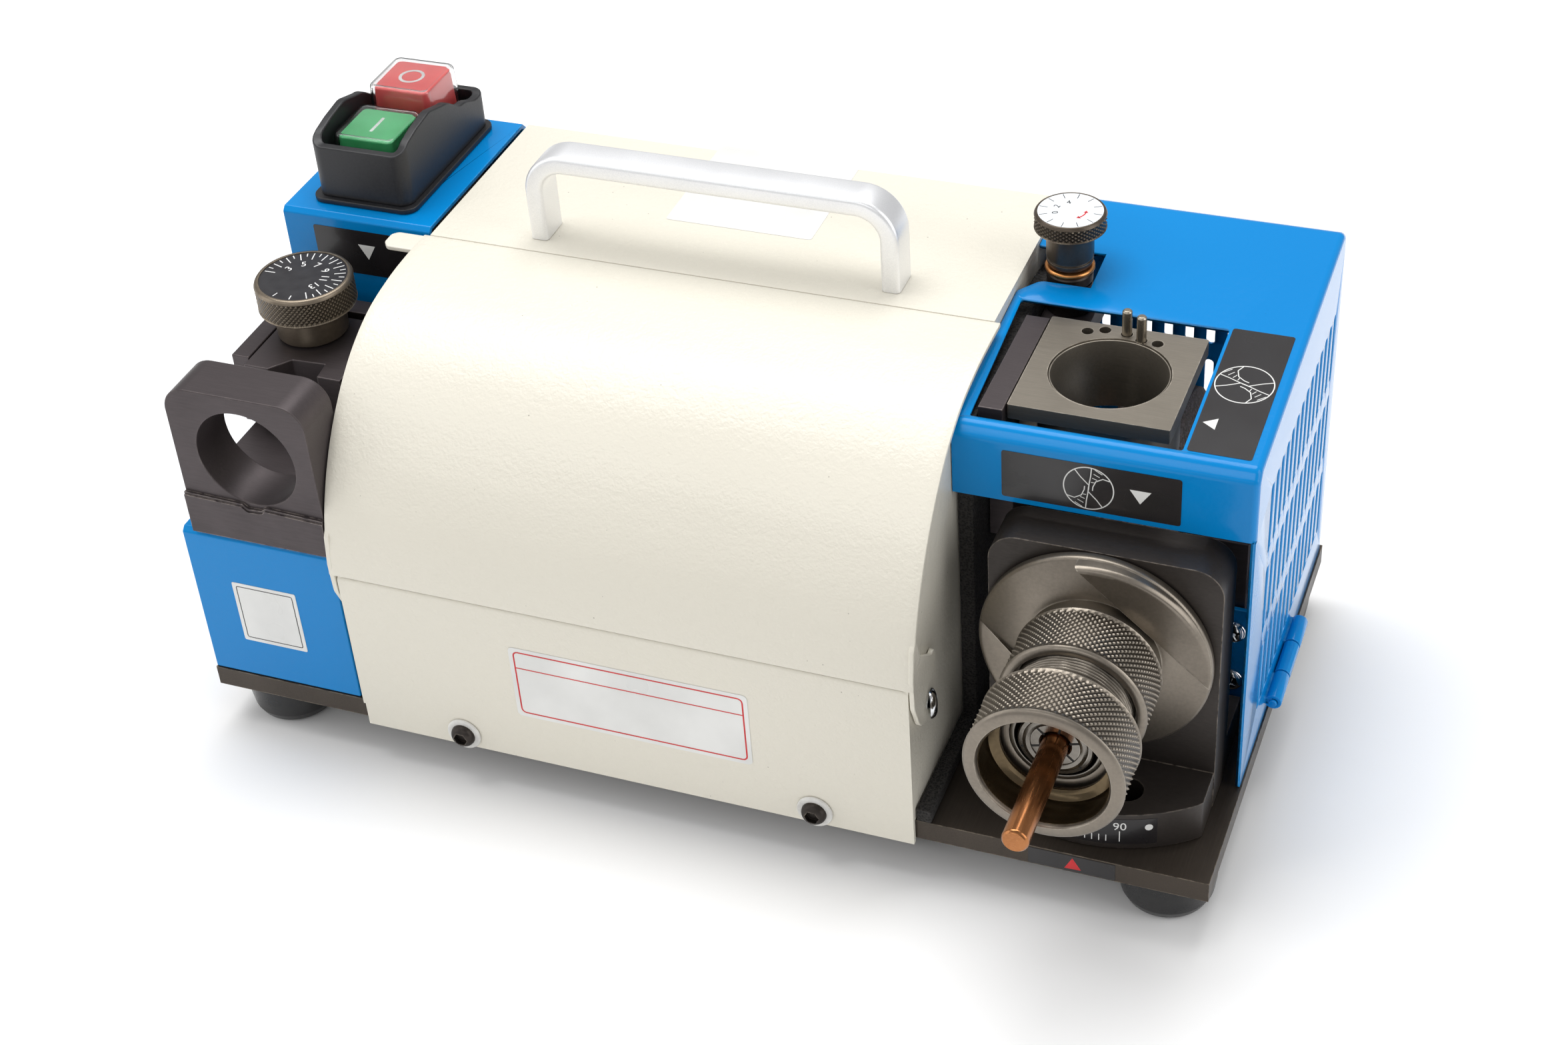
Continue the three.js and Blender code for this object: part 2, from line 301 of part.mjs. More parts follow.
add('chuck_body', chuckBody(), nickel())
add('clamp_nut', latheY([[18.2, -25.2], [21.4, -25.2], [22.4, -24.2], [22.4, -7.4], [21.6, -6.2], [17.3, -6.2], [17.3, -12], [18.2, -15]], 36, ...CHUCK), nickel())
add('collet', latheY([[4.1, -12.4], [10.6, -12.4], [10.6, -8.6], [9.6, -8.6], [9.6, -6.6], [12.6, -4], [10.8, 20], [4.1, 20]], 24, ...CHUCK), nickel())
add('drill_bit', latheY([[0, Y_FRONT], [3.2, Y_FRONT], [3.75, -50], [3.75, 64.4], [0, 66.6]], 16, ...CHUCK), M(0xa8622c, 0.3, 0.95))

export default group
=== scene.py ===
"""Bench drill bit sharpener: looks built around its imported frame."""
import json
import math

import bmesh
import bpy
from mathutils import Matrix, Vector, noise


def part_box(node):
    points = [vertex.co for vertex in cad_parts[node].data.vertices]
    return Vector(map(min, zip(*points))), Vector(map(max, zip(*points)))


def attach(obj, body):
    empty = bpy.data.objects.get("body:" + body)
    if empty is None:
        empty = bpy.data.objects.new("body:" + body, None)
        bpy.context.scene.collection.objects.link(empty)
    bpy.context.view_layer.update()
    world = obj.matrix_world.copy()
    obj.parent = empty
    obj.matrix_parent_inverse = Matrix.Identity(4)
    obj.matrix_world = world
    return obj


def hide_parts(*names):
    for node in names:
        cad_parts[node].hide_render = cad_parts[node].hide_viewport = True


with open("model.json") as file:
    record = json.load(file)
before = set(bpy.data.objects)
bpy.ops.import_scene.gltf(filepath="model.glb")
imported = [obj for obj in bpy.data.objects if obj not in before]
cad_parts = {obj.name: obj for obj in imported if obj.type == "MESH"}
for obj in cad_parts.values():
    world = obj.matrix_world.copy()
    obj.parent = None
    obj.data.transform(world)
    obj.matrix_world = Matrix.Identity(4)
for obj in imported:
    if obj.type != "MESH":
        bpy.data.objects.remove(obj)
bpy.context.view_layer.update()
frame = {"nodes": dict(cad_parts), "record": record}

# ---------------------------------------------------------------------------
# Studio: a plain pale floor, a large soft box overhead, a soft fill at each side
# and two narrow strips in front. The camera stands front right and looks down.
studio = bpy.context.scene
studio.view_settings.view_transform = "Standard"
studio.view_settings.look = "None"

camera_data = bpy.data.cameras.new("camera")
camera_data.lens = 58.37
camera_data.sensor_width = 36.0
camera_data.clip_end = 50.0
camera = bpy.data.objects.new("camera", camera_data)
camera.matrix_world = Matrix((
    (0.933598, -0.172222, 0.31422, 0.2522136),
    (0.353064, 0.591815, -0.724638, -0.5529961),
    (-0.061161, 0.787461, 0.613323, 0.5420679),
    (0, 0, 0, 1)))
studio.collection.objects.link(camera)
studio.camera = camera

sky = bpy.data.worlds.new("studio_air")
sky.use_nodes = True
sky.node_tree.nodes["Background"].inputs["Color"].default_value = (1.0, 1.0, 1.0, 1)
sky.node_tree.nodes["Background"].inputs["Strength"].default_value = 0.41
studio.world = sky


def soft_box(name, size, power, place, aim):
    lamp = bpy.data.lights.new(name, "AREA")
    lamp.shape = "RECTANGLE"
    lamp.size, lamp.size_y = size
    lamp.energy = power
    holder = bpy.data.objects.new(name, lamp)
    direction = Vector(aim) - Vector(place)
    holder.matrix_world = Matrix.Translation(place) @ direction.to_track_quat("-Z", "Y").to_matrix().to_4x4()
    studio.collection.objects.link(holder)


soft_box("overhead_box", (1.5, 0.9), 22.0, (-0.25, 0.35, 1.5), (0, 0.02, 0.1))
soft_box("left_fill", (0.9, 1.3), 5.5, (-1.5, -0.55, 0.7), (0, 0, 0.1))
soft_box("right_fill", (1.0, 1.4), 10.0, (1.5, -0.1, 0.75), (0.05, 0, 0.08))
soft_box("front_strip", (1.6, 0.16), 3.0, (-0.2, -1.2, 1.15), (0, 0, 0.1))
soft_box("low_strip", (1.4, 0.14), 0.7, (-0.3, -1.5, 0.55), (0, 0, 0.08))

floor_mesh = bpy.data.meshes.new("floor")
floor_mesh.from_pydata([(-6, -6, 0), (6, -6, 0), (6, 6, 0), (-6, 6, 0)], [], [(0, 1, 2, 3)])
floor = bpy.data.objects.new("floor", floor_mesh)
studio.collection.objects.link(floor)


def blank_material(name):
    """A new material with its node tree and its shader."""
    made = bpy.data.materials.new(name)
    made.use_nodes = True
    return made, made.node_tree, made.node_tree.nodes["Principled BSDF"]


paper, tree, shader = blank_material("floor_paper")
shader.inputs["Base Color"].default_value = (0.93, 0.93, 0.93, 1)
shader.inputs["Roughness"].default_value = 0.7
floor_mesh.materials.append(paper)

# ---------------------------------------------------------------------------
# Base plate: a 7 mm steel plate, sawn and ground, then hot blackened. Its edges
# are broken by hand and rub bright. Everything else is bolted down to it.
MM = 0.001
plate_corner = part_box("base_plate")[0]
carried_by = {n: b for b, names in frame["record"]["behaviour"]["bodies"].items() for n in names}


def at(x, y, z):
    """A point measured in millimetres from the base plate's left front lower corner."""
    return Vector((plate_corner.x + x * MM, plate_corner.y + y * MM, plate_corner.z + z * MM))


def node(tree, kind, inputs=None, **settings):
    """One shader or geometry node. An input is a value, a socket, or a node for its first output."""
    made = tree.nodes.new(kind)
    for key, value in settings.items():
        setattr(made, key, value)
    for key, value in (inputs or {}).items():
        socket = made.inputs[key]
        if isinstance(value, bpy.types.Node):
            value = value.outputs[0]
        if isinstance(value, bpy.types.NodeSocket):
            tree.links.new(value, socket)
        else:
            socket.default_value = value
    return made


def object_place(tree):
    """Where a point lies on the object, in metres."""
    return node(tree, "ShaderNodeTexCoord").outputs["Object"]


def mottled(tree, vector, scale, detail, **more):
    """A cloudy pattern, as fine as its scale says."""
    return node(tree, "ShaderNodeTexNoise", {"Vector": vector, "Scale": scale, "Detail": detail, **more})


def remapped(tree, value, low, high):
    """A value stretched so that low becomes nothing and high becomes full."""
    return node(tree, "ShaderNodeMapRange", {"Value": value, "From Min": low, "From Max": high})


def ramp(tree, factor, stops):
    """A colour ramp from (position, grey or colour) stops."""
    made = node(tree, "ShaderNodeValToRGB", {"Fac": factor})
    while len(made.color_ramp.elements) < len(stops):
        made.color_ramp.elements.new(0.5)
    for element, (position, colour) in zip(made.color_ramp.elements, stops):
        element.position = position
        element.color = (*(colour if isinstance(colour, tuple) else (colour,) * 3), 1)
    return made.outputs["Color"]


def ramped(tree, shader, label, factor, stops):
    """Feeds an input of the shader from a ramp."""
    tree.links.new(ramp(tree, factor, stops), shader.inputs[label])


def blend_colour(tree, factor, first, second):
    """One colour mixed into another by a factor."""
    made = node(tree, "ShaderNodeMix", data_type="RGBA")
    for index, value in ((0, factor), (6, first), (7, second)):
        if isinstance(value, bpy.types.NodeSocket):
            tree.links.new(value, made.inputs[index])
        else:
            made.inputs[index].default_value = (*value, 1) if isinstance(value, tuple) else value
    return made.outputs[2]


def sums(tree, operation, first, second=0.0):
    """One step of arithmetic on two values."""
    return node(tree, "ShaderNodeMath", {0: first, 1: second}, operation=operation).outputs[0]


def bumped(tree, shader, height, strength, distance):
    """Raises the surface in the light by a height, in metres."""
    bump = node(tree, "ShaderNodeBump", {"Height": height, "Strength": strength, "Distance": distance})
    tree.links.new(bump.outputs[0], shader.inputs["Normal"])


def shader_group(name, inputs, outputs):
    """An empty shader node group with named number or colour sockets."""
    tree = bpy.data.node_groups.new(name, "ShaderNodeTree")
    for label, value in inputs:
        kind = "NodeSocketColor" if isinstance(value, tuple) else "NodeSocketFloat"
        socket = tree.interface.new_socket(name=label, in_out="INPUT", socket_type=kind)
        socket.default_value = (*value, 1) if isinstance(value, tuple) else value
    for label, kind in outputs:
        tree.interface.new_socket(name=label, in_out="OUTPUT", socket_type="NodeSocket" + kind)
    return tree, tree.nodes.new("NodeGroupInput").outputs, tree.nodes.new("NodeGroupOutput").inputs


# rubbed edges: bright only where the surface turns a corner, broken up by a fine noise
rubbed_edges, given, result = shader_group("rubbed_edges", [("Width", 0.0006), ("Amount", 1.0)],
                                           [("Mask", "Float")])
corner_normal = node(rubbed_edges, "ShaderNodeBevel", {"Radius": given["Width"]}, samples=6)
flat_normal = node(rubbed_edges, "ShaderNodeNewGeometry")
turn = node(rubbed_edges, "ShaderNodeVectorMath",
            {0: corner_normal.outputs[0], 1: flat_normal.outputs["Normal"]}, operation="DOT_PRODUCT")
curved = remapped(rubbed_edges, turn.outputs["Value"], 0.985, 0.80)
patchy = mottled(rubbed_edges, object_place(rubbed_edges), 420.0, 3.0)
patches = remapped(rubbed_edges, patchy.outputs["Fac"], 0.36, 0.62)
rubbed_edges.links.new(sums(rubbed_edges, "MULTIPLY",
                            sums(rubbed_edges, "MULTIPLY", curved.outputs[0], patches.outputs[0]),
                            given["Amount"]), result["Mask"])

# tool marks: fine parallel lines left by grinding or milling, drawn out along one direction
tool_marks, given, result = shader_group("tool_marks",
                                         [("Along X", 60.0), ("Along Y", 2500.0), ("Along Z", 2500.0)],
                                         [("Height", "Float"), ("Cloud", "Float")])
coordinate = object_place(tool_marks)
stretched = node(tool_marks, "ShaderNodeVectorMath",
                 {0: coordinate, 1: node(tool_marks, "ShaderNodeCombineXYZ",
                                         {0: given["Along X"], 1: given["Along Y"],
                                          2: given["Along Z"]}).outputs[0]}, operation="MULTIPLY")
lines = mottled(tool_marks, stretched.outputs[0], 1.0, 4.0, Roughness=0.6)
clouds = mottled(tool_marks, coordinate, 42.0, 5.0, Roughness=0.62)
tool_marks.links.new(lines.outputs["Fac"], result["Height"])
tool_marks.links.new(clouds.outputs["Fac"], result["Cloud"])


def worked_metal(name, colour, worn, roughness, metallic, marks, depth, edge=1.0, spread=0.28, darkening=0.5):
    """Ground, turned or blackened steel: cloudy tone, tool marks and rubbed edges."""
    made, tree, shader = blank_material(name)
    surface = node(tree, "ShaderNodeGroup", node_tree=tool_marks)
    for label, value in zip(("Along X", "Along Y", "Along Z"), marks):
        surface.inputs[label].default_value = value
    edges = node(tree, "ShaderNodeGroup", node_tree=rubbed_edges)
    edges.inputs["Width"].default_value = 0.0006
    edges.inputs["Amount"].default_value = edge
    dark = tuple(c * (1 - darkening) for c in colour)
    tone = ramp(tree, surface.outputs["Cloud"], [(0.3, dark), (0.7, colour)])
    lined = blend_colour(tree, surface.outputs["Height"], tone, tuple(min(1, c * 1.25) for c in colour))
    mixed = blend_colour(tree, edges.outputs["Mask"], lined, worn)
    tree.links.new(mixed, shader.inputs["Base Color"])
    shader.inputs["Metallic"].default_value = metallic
    rough = node(tree, "ShaderNodeMapRange", {"Value": surface.outputs["Cloud"], "From Min": 0.25,
                                              "From Max": 0.75, "To Min": roughness + spread * 0.4,
                                              "To Max": roughness - spread * 0.3})
    tree.links.new(rough.outputs[0], shader.inputs["Roughness"])
    bumped(tree, shader, surface.outputs["Height"], 0.5, depth)
    return made


def coated(mesh, material):
    """The mesh with one finish all over."""
    mesh.materials.clear()
    mesh.materials.append(material)
    return mesh


def join_piece(name, mesh, material, body, slot, *stands_for):
    """Gives a finished mesh its name and finish, and lets it ride on its body."""
    mesh.name = name
    if material is not None:
        coated(mesh, material)
    piece = bpy.data.objects.new(name, mesh)
    studio.collection.objects.link(piece)
    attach(piece, body)
    if stands_for:
        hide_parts(*stands_for)
    return piece


def smoothed(mesh, angle):
    """The mesh shaded smooth, with corners sharper than an angle in degrees left crisp."""
    mesh.shade_smooth()
    mesh.set_sharp_from_angle(angle=math.radians(angle))
    return mesh


def taken_from(holder):
    """The plain mesh of an object with its modifiers applied. The object and its first mesh go."""
    bpy.context.view_layer.update()
    result = bpy.data.meshes.new_from_object(holder.evaluated_get(bpy.context.evaluated_depsgraph_get()))
    first = holder.data
    bpy.data.objects.remove(holder)
    bpy.data.meshes.remove(first)
    return result


def settled(mesh, *modifiers, sharp=None):
    """The mesh after its modifiers, as a plain mesh. Each modifier is (type, {settings})."""
    mesh.shade_smooth()
    holder = bpy.data.objects.new("settling", mesh)
    studio.collection.objects.link(holder)
    for kind, settings in modifiers:
        step = holder.modifiers.new(kind.lower(), kind)
        for key, value in settings.items():
            setattr(step, key, value)
    result = taken_from(holder)
    return result if sharp is None else smoothed(result, sharp)


def faced_out(shape, name):
    """The mesh that was drawn, with all its faces pointing out."""
    bmesh.ops.recalc_face_normals(shape, faces=shape.faces)
    mesh = bpy.data.meshes.new(name)
    shape.to_mesh(mesh)
    shape.free()
    return mesh


def from_frame(name):
    """A merged copy of a CAD mesh with its flat faces made whole."""
    shape = bmesh.new()
    shape.from_mesh(frame["nodes"][name].data)
    bmesh.ops.remove_doubles(shape, verts=shape.verts, dist=4e-6)
    bmesh.ops.dissolve_limit(shape, angle_limit=math.radians(0.6), verts=shape.verts, edges=shape.edges)
    return faced_out(shape, name + "_copy")


def bevel(width, steps, angle, **more):
    """A bevel in millimetres on every corner sharper than an angle in degrees."""
    return "BEVEL", dict(width=width * MM, segments=steps, limit_method="ANGLE",
                         angle_limit=math.radians(angle), **more)


flat_light = ("WEIGHTED_NORMAL", dict(mode="FACE_AREA", weight=60))


def broken_edges(mesh, width, steps=2, angle=30):
    """Corners rounded by a small bevel, with the light kept flat on the faces."""
    miter = "MITER_ARC" if steps > 2 else "MITER_SHARP"
    return settled(mesh, bevel(width, steps, angle, miter_outer=miter), flat_light)


def from_cad(name, finish_word, width, material, slot, *bevel):
    """A CAD piece of the right shape, with its edges broken and its finish on."""
    mesh = broken_edges(from_frame(name), width, *bevel)
    join_piece(name + finish_word, mesh, material, carried_by[name], slot, name)


base_steel = worked_metal("blackened_plate", (0.066, 0.053, 0.042), (0.30, 0.25, 0.19), 0.40, 0.66,
                          (2200.0, 55.0, 2200.0), 0.00004)
from_cad("base_plate", "_steel", 0.5, base_steel, "black_oxide_steel")

# ---------------------------------------------------------------------------
# Feet: four moulded rubber feet, a little domed towards a flat tread, each held by
# one screw from above. Glossy mould finish with a little dust.


def turned(profile, place, axis="Z", steps=96, close=True):
    """A turned shape: (radius, height) points spun about a line through place."""
    shape = bmesh.new()
    origin = at(*place)
    rings = []
    for radius, height in profile:
        ring = []
        for i in range(steps if radius > 1e-6 else 1):
            a = 2 * math.pi * i / steps
            u, v = radius * math.cos(a) * MM, radius * math.sin(a) * MM
            h = height * MM
            offset = {"Z": (u, v, h), "Y": (u, h, v), "X": (h, u, v)}[axis]
            ring.append(shape.verts.new(origin + Vector(offset)))
        rings.append(ring)
    spans = list(zip(rings, rings[1:]))
    if close and profile[0][0] > 1e-6:
        spans.append((rings[-1], rings[0]))
    for low, high in spans:
        for i in range(steps):
            j = (i + 1) % steps
            corners = [low[i % len(low)], low[j % len(low)], high[j % len(high)], high[i % len(high)]]
            unique = list(dict.fromkeys(corners))
            if len(unique) > 2:
                shape.faces.new(unique)
    bmesh.ops.remove_doubles(shape, verts=shape.verts, dist=1e-7)
    mesh = faced_out(shape, "turned")
    return smoothed(mesh, 38)


def eased(points, radius, steps=4, closed=True):
    """A polyline with its corners rounded to a radius."""
    out = []
    count = len(points)
    for i, point in enumerate(points):
        if not closed and i in (0, count - 1):
            out.append(tuple(point))
            continue
        r = point[2] if len(point) > 2 else radius
        p = Vector(point[:2])
        a, b = Vector(points[i - 1][:2]) - p, Vector(points[(i + 1) % count][:2]) - p
        if a.length < 1e-6 or b.length < 1e-6 or r <= 0:
            out.append(tuple(p))
            continue
        half = a.angle(b, math.pi) / 2
        if half > math.radians(86) or half < math.radians(3):
            out.append(tuple(p))
            continue
        reach = min(r / math.tan(half), a.length * 0.45, b.length * 0.45)
        r = reach * math.tan(half)
        centre = p + (a.normalized() + b.normalized()).normalized() * (r / math.sin(half))
        start, end = p + a.normalized() * reach, p + b.normalized() * reach
        s, e = start - centre, end - centre
        swing = s.angle_signed(e, 0.0)
        for k in range(steps + 1):
            q = s.copy()
            q.rotate(Matrix.Rotation(-swing * k / steps, 2))
            out.append(tuple(centre + q))
    return out


def turned_bar(profile, radius, corner_steps, place, axis, steps):
    """A solid turned bar, drawn from one end of its axis to the other, with its corners eased."""
    return turned(eased(profile, radius, corner_steps, closed=False), place, axis, steps, close=False)


rubber, tree, shader = blank_material("moulded_rubber")
coordinate = object_place(tree)
dusty = mottled(tree, coordinate, 95.0, 6.0, Roughness=0.7)
ramped(tree, shader, "Base Color", dusty.outputs["Fac"],
       [(0.35, (0.006, 0.006, 0.007)), (0.75, (0.022, 0.021, 0.02))])
ramped(tree, shader, "Roughness", dusty.outputs["Fac"], [(0.3, 0.2), (0.75, 0.46)])
pores = mottled(tree, coordinate, 1400.0, 2.0)
bumped(tree, shader, pores.outputs["Fac"], 0.25, 0.00006)
for foot in ("foot_front_left", "foot_front_right", "foot_rear_left", "foot_rear_right"):
    low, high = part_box(foot)
    middle = [((low[k] + high[k]) / 2 - plate_corner[k]) / MM for k in range(2)]
    dome = eased([(0, -14.5), (9.8, -14.5), (12.3, -13.3), (13.6, -10.6), (14.2, -6.0), (14.35, -1.2),
                  (14.0, -0.3), (0, -0.3)], 1.4, 3, closed=False)
    join_piece(foot + "_rubber", turned(dome, (*middle, 0)), rubber, "frame", "black_rubber", foot)

# ---------------------------------------------------------------------------
# Casing: 1.5 mm sheet folded into front, cheeks, back and a fixed rear top, then
# powder coated cream. The coat is thick, softly wrinkled and has tiny dark specks.
powder_skin, given, result = shader_group(
    "powder_skin", [("Peel", 900.0), ("Wrinkle", 260.0), ("Speck", 0.5)],
    [("Height", "Float"), ("Speck", "Float"), ("Cloud", "Float")])
coordinate = object_place(powder_skin)
peel = mottled(powder_skin, coordinate, given["Peel"], 2.0, Roughness=0.5)
wrinkle = mottled(powder_skin, coordinate, given["Wrinkle"], 3.0, Roughness=0.55, Distortion=0.6)
fine_skin = sums(powder_skin, "ADD", sums(powder_skin, "MULTIPLY", peel.outputs["Fac"], 0.55),
                 sums(powder_skin, "MULTIPLY", wrinkle.outputs["Fac"], 0.8))
seeds = node(powder_skin, "ShaderNodeTexVoronoi", {"Vector": coordinate, "Scale": 210.0, "Randomness": 1.0})
few = mottled(powder_skin, coordinate, 60.0, 1.0)
close_by = remapped(powder_skin, seeds.outputs["Distance"], 0.055, 0.03)
rare = remapped(powder_skin, few.outputs["Fac"], 0.52, 0.6)
powder_skin.links.new(sums(powder_skin, "MULTIPLY",
                           sums(powder_skin, "MULTIPLY", close_by.outputs[0], rare.outputs[0]),
                           given["Speck"]), result["Speck"])
drift = mottled(powder_skin, coordinate, 9.0, 1.0)
powder_skin.links.new(drift.outputs["Fac"], result["Cloud"])
pulled = node(powder_skin, "ShaderNodeVectorMath", {0: coordinate, 1: (0.3, 1.0, 1.0)}, operation="MULTIPLY")
sway = mottled(powder_skin, pulled.outputs[0], 24.0, 1.0)
powder_skin.links.new(sums(powder_skin, "ADD", sums(powder_skin, "MULTIPLY", sway.outputs["Fac"], 4.5),
                           fine_skin), result["Height"])


def powder_coat(name, colour, tint, speck_colour, roughness, depth, peel_size, wrinkle_size, speck, bare,
                edge):
    """Sprayed and baked powder paint on sheet metal."""
    made, tree, shader = blank_material(name)
    skin = node(tree, "ShaderNodeGroup", node_tree=powder_skin)
    for label, value in (("Peel", peel_size), ("Wrinkle", wrinkle_size), ("Speck", speck)):
        skin.inputs[label].default_value = value
    edges = node(tree, "ShaderNodeGroup", node_tree=rubbed_edges)
    edges.inputs["Width"].default_value = 0.0007
    edges.inputs["Amount"].default_value = edge
    base = ramp(tree, skin.outputs["Cloud"], [(0.1, tint), (0.9, colour)])
    specked = blend_colour(tree, skin.outputs["Speck"], base, speck_colour)
    tree.links.new(blend_colour(tree, edges.outputs["Mask"], specked, bare), shader.inputs["Base Color"])
    ramped(tree, shader, "Roughness", skin.outputs["Cloud"],
           [(0.1, roughness - 0.02), (0.9, roughness + 0.05)])
    bumped(tree, shader, skin.outputs["Height"], 0.6, depth)
    return made


cream = powder_coat("cream_powder", (0.765, 0.73, 0.635), (0.725, 0.69, 0.595), (0.10, 0.075, 0.05), 0.30,
                    0.00036, 1050.0, 420.0, 0.6, (0.9, 0.87, 0.76), 0.25)
from_cad("casing", "_sheet", 0.45, cream, "cream_powder_coat", 2, 32)

# Front screws: blackened button heads with a hexagon socket, each on a thick white
# nylon washer. They hold the front panel to the base plate's edge.


def outline_prism(outline, low, high, axis="Z", holes=()):
    """A solid with a drawn outline, from low to high along an axis (mm)."""
    shape = bmesh.new()

    def place(p, h):
        return at(*{"Z": (p[0], p[1], h), "Y": (p[0], h, p[1]), "X": (h, p[0], p[1])}[axis])

    loops = [outline, *holes]
    tops, bottoms = [], []
    for loop in loops:
        bottoms.append([shape.verts.new(place(p, low)) for p in loop])
        tops.append([shape.verts.new(place(p, high)) for p in loop])
    for level in (bottoms, tops):
        edges = []
        for loop in level:
            edges += [shape.edges.new((loop[i - 1], loop[i])) for i in range(len(loop))]
        if len(loops) == 1:
            shape.faces.new(level[0])
        else:
            bmesh.ops.triangle_fill(shape, edges=edges, use_beauty=True, use_dissolve=False)
    for bottom, top in zip(bottoms, tops):
        for i in range(len(bottom)):
            shape.faces.new((bottom[i - 1], bottom[i], top[i], top[i - 1]))
    return faced_out(shape, "prism")


def gathered(*meshes):
    """Several meshes as one, each keeping its own shading and materials."""
    shape = bmesh.new()
    slots = []
    for mesh in meshes:
        for m in mesh.materials:
            if m not in slots:
                slots.append(m)
        index = [slots.index(m) for m in mesh.materials]
        first = len(shape.faces)
        shape.from_mesh(mesh)
        shape.faces.ensure_lookup_table()
        for face in shape.faces[first:]:
            face.material_index = index[face.material_index] if index else 0
    mesh = bpy.data.meshes.new("gathered")
    for m in slots:
        mesh.materials.append(m)
    shape.to_mesh(mesh)
    shape.free()
    for old in meshes:
        bpy.data.meshes.remove(old)
    return mesh


def circle(x, y, r, n, first=0.0, last=2 * math.pi, whole=True):
    """Points on an arc; a whole circle leaves its last point out."""
    steps = n if whole else n - 1
    return [(x + r * math.cos(first + (last - first) * i / steps),
             y + r * math.sin(first + (last - first) * i / steps)) for i in range(n)]


def shape_tree(name, *inputs):
    """An empty Geometry Nodes tree with named inputs, and a finish as its last input."""
    tree = bpy.data.node_groups.new(name, "GeometryNodeTree")
    for label, kind in (("Geometry", "Geometry"), *inputs, ("Finish", "Material")):
        tree.interface.new_socket(name=label, in_out="INPUT", socket_type="NodeSocket" + kind)
    tree.interface.new_socket(name="Geometry", in_out="OUTPUT", socket_type="NodeSocketGeometry")
    return tree, tree.nodes.new("NodeGroupInput").outputs


def made_real(tree, geometry, given):
    """Ends a Geometry Nodes tree: real geometry with its finish."""
    real = node(tree, "GeometryNodeRealizeInstances", {"Geometry": geometry})
    finish = node(tree, "GeometryNodeSetMaterial", {"Geometry": real, "Material": given["Finish"]})
    tree.links.new(finish.outputs[0], tree.nodes.new("NodeGroupOutput").inputs[0])
    return tree


def on_points(tree, given, instance):
    """One copy of a shape on each point given, turned as the point says."""
    turn = node(tree, "GeometryNodeInputNamedAttribute", {"Name": "turn"}, data_type="FLOAT_VECTOR")
    return node(tree, "GeometryNodeInstanceOnPoints",
                {"Points": given["Geometry"], "Instance": instance, "Rotation": turn})


def recessed_head(name, drive):
    """A Geometry Nodes tree: a domed screw head with its drive cut in, on every point given."""
    tree, given = shape_tree(name, ("Radius", "Float"), ("Height", "Float"), ("Drive Depth", "Float"))
    ball = node(tree, "GeometryNodeMeshUVSphere", {"Segments": 48, "Rings": 24, "Radius": 1.0})
    position = node(tree, "GeometryNodeInputPosition")
    parts = node(tree, "ShaderNodeSeparateXYZ", {0: position})
    # a dome above, a flat cylinder below: squash the lower half flat and square the shoulder
    up = sums(tree, "MAXIMUM", parts.outputs["Z"], 0.0)
    reach = node(tree, "ShaderNodeVectorMath",
                 {0: node(tree, "ShaderNodeCombineXYZ", {0: parts.outputs["X"], 1: parts.outputs["Y"]})},
                 operation="LENGTH")
    square = sums(tree, "POWER", reach.outputs["Value"], 0.62)
    widen = sums(tree, "DIVIDE", square, reach.outputs["Value"])
    flat = sums(tree, "LESS_THAN", parts.outputs["Z"], 0.0)
    factor = node(tree, "GeometryNodeSwitch", {"Switch": flat, "False": widen,
                                               "True": reach.outputs["Value"]}, input_type="FLOAT")
    wide = sums(tree, "MULTIPLY", factor, given["Radius"])
    tall = sums(tree, "MULTIPLY", up, given["Height"])
    spot = node(tree, "ShaderNodeCombineXYZ", {
        0: sums(tree, "MULTIPLY", parts.outputs["X"], wide),
        1: sums(tree, "MULTIPLY", parts.outputs["Y"], wide),
        2: tall})
    dome = node(tree, "GeometryNodeSetPosition", {"Geometry": ball.outputs["Mesh"], "Position": spot})
    merged = node(tree, "GeometryNodeMergeByDistance", {"Geometry": dome, "Distance": 0.0000005})
    # the drive: a hexagon, or two crossed bars
    across = sums(tree, "MULTIPLY", given["Radius"], 0.58 if drive == "hexagon" else 0.6)
    deep = sums(tree, "MULTIPLY", given["Drive Depth"], 2.0)
    if drive == "hexagon":
        tool = node(tree, "GeometryNodeMeshCylinder", {"Vertices": 6, "Radius": across, "Depth": deep})
        tools = [tool.outputs["Mesh"]]
    else:
        thin = sums(tree, "MULTIPLY", given["Radius"], 0.24)
        long = sums(tree, "MULTIPLY", across, 2.0)
        tools = []
        for a, b in ((long, thin), (thin, long)):
            size = node(tree, "ShaderNodeCombineXYZ", {0: a, 1: b, 2: deep})
            tools.append(node(tree, "GeometryNodeMeshCube", {"Size": size}).outputs["Mesh"])
    raised = [node(tree, "GeometryNodeTransform",
                   {"Geometry": t, "Translation": node(tree, "ShaderNodeCombineXYZ",
                                                       {2: given["Height"]})}) for t in tools]
    head = merged
    for t in raised:
        head = node(tree, "GeometryNodeMeshBoolean", {"Mesh 1": head, "Mesh 2": t}, operation="DIFFERENCE",
                    solver="EXACT").outputs["Mesh"]
    return made_real(tree, on_points(tree, given, head), given)


def run_tree(tree, seed, values):
    """The plain mesh that a Geometry Nodes tree makes of a seed mesh."""
    holder = bpy.data.objects.new("seed", seed)
    studio.collection.objects.link(holder)
    step = holder.modifiers.new("shape", "NODES")
    step.node_group = tree
    sockets = {item.name: item.identifier for item in tree.interface.items_tree if item.in_out == "INPUT"}
    for label, value in values.items():
        step[sockets[label]] = value
    return taken_from(holder)


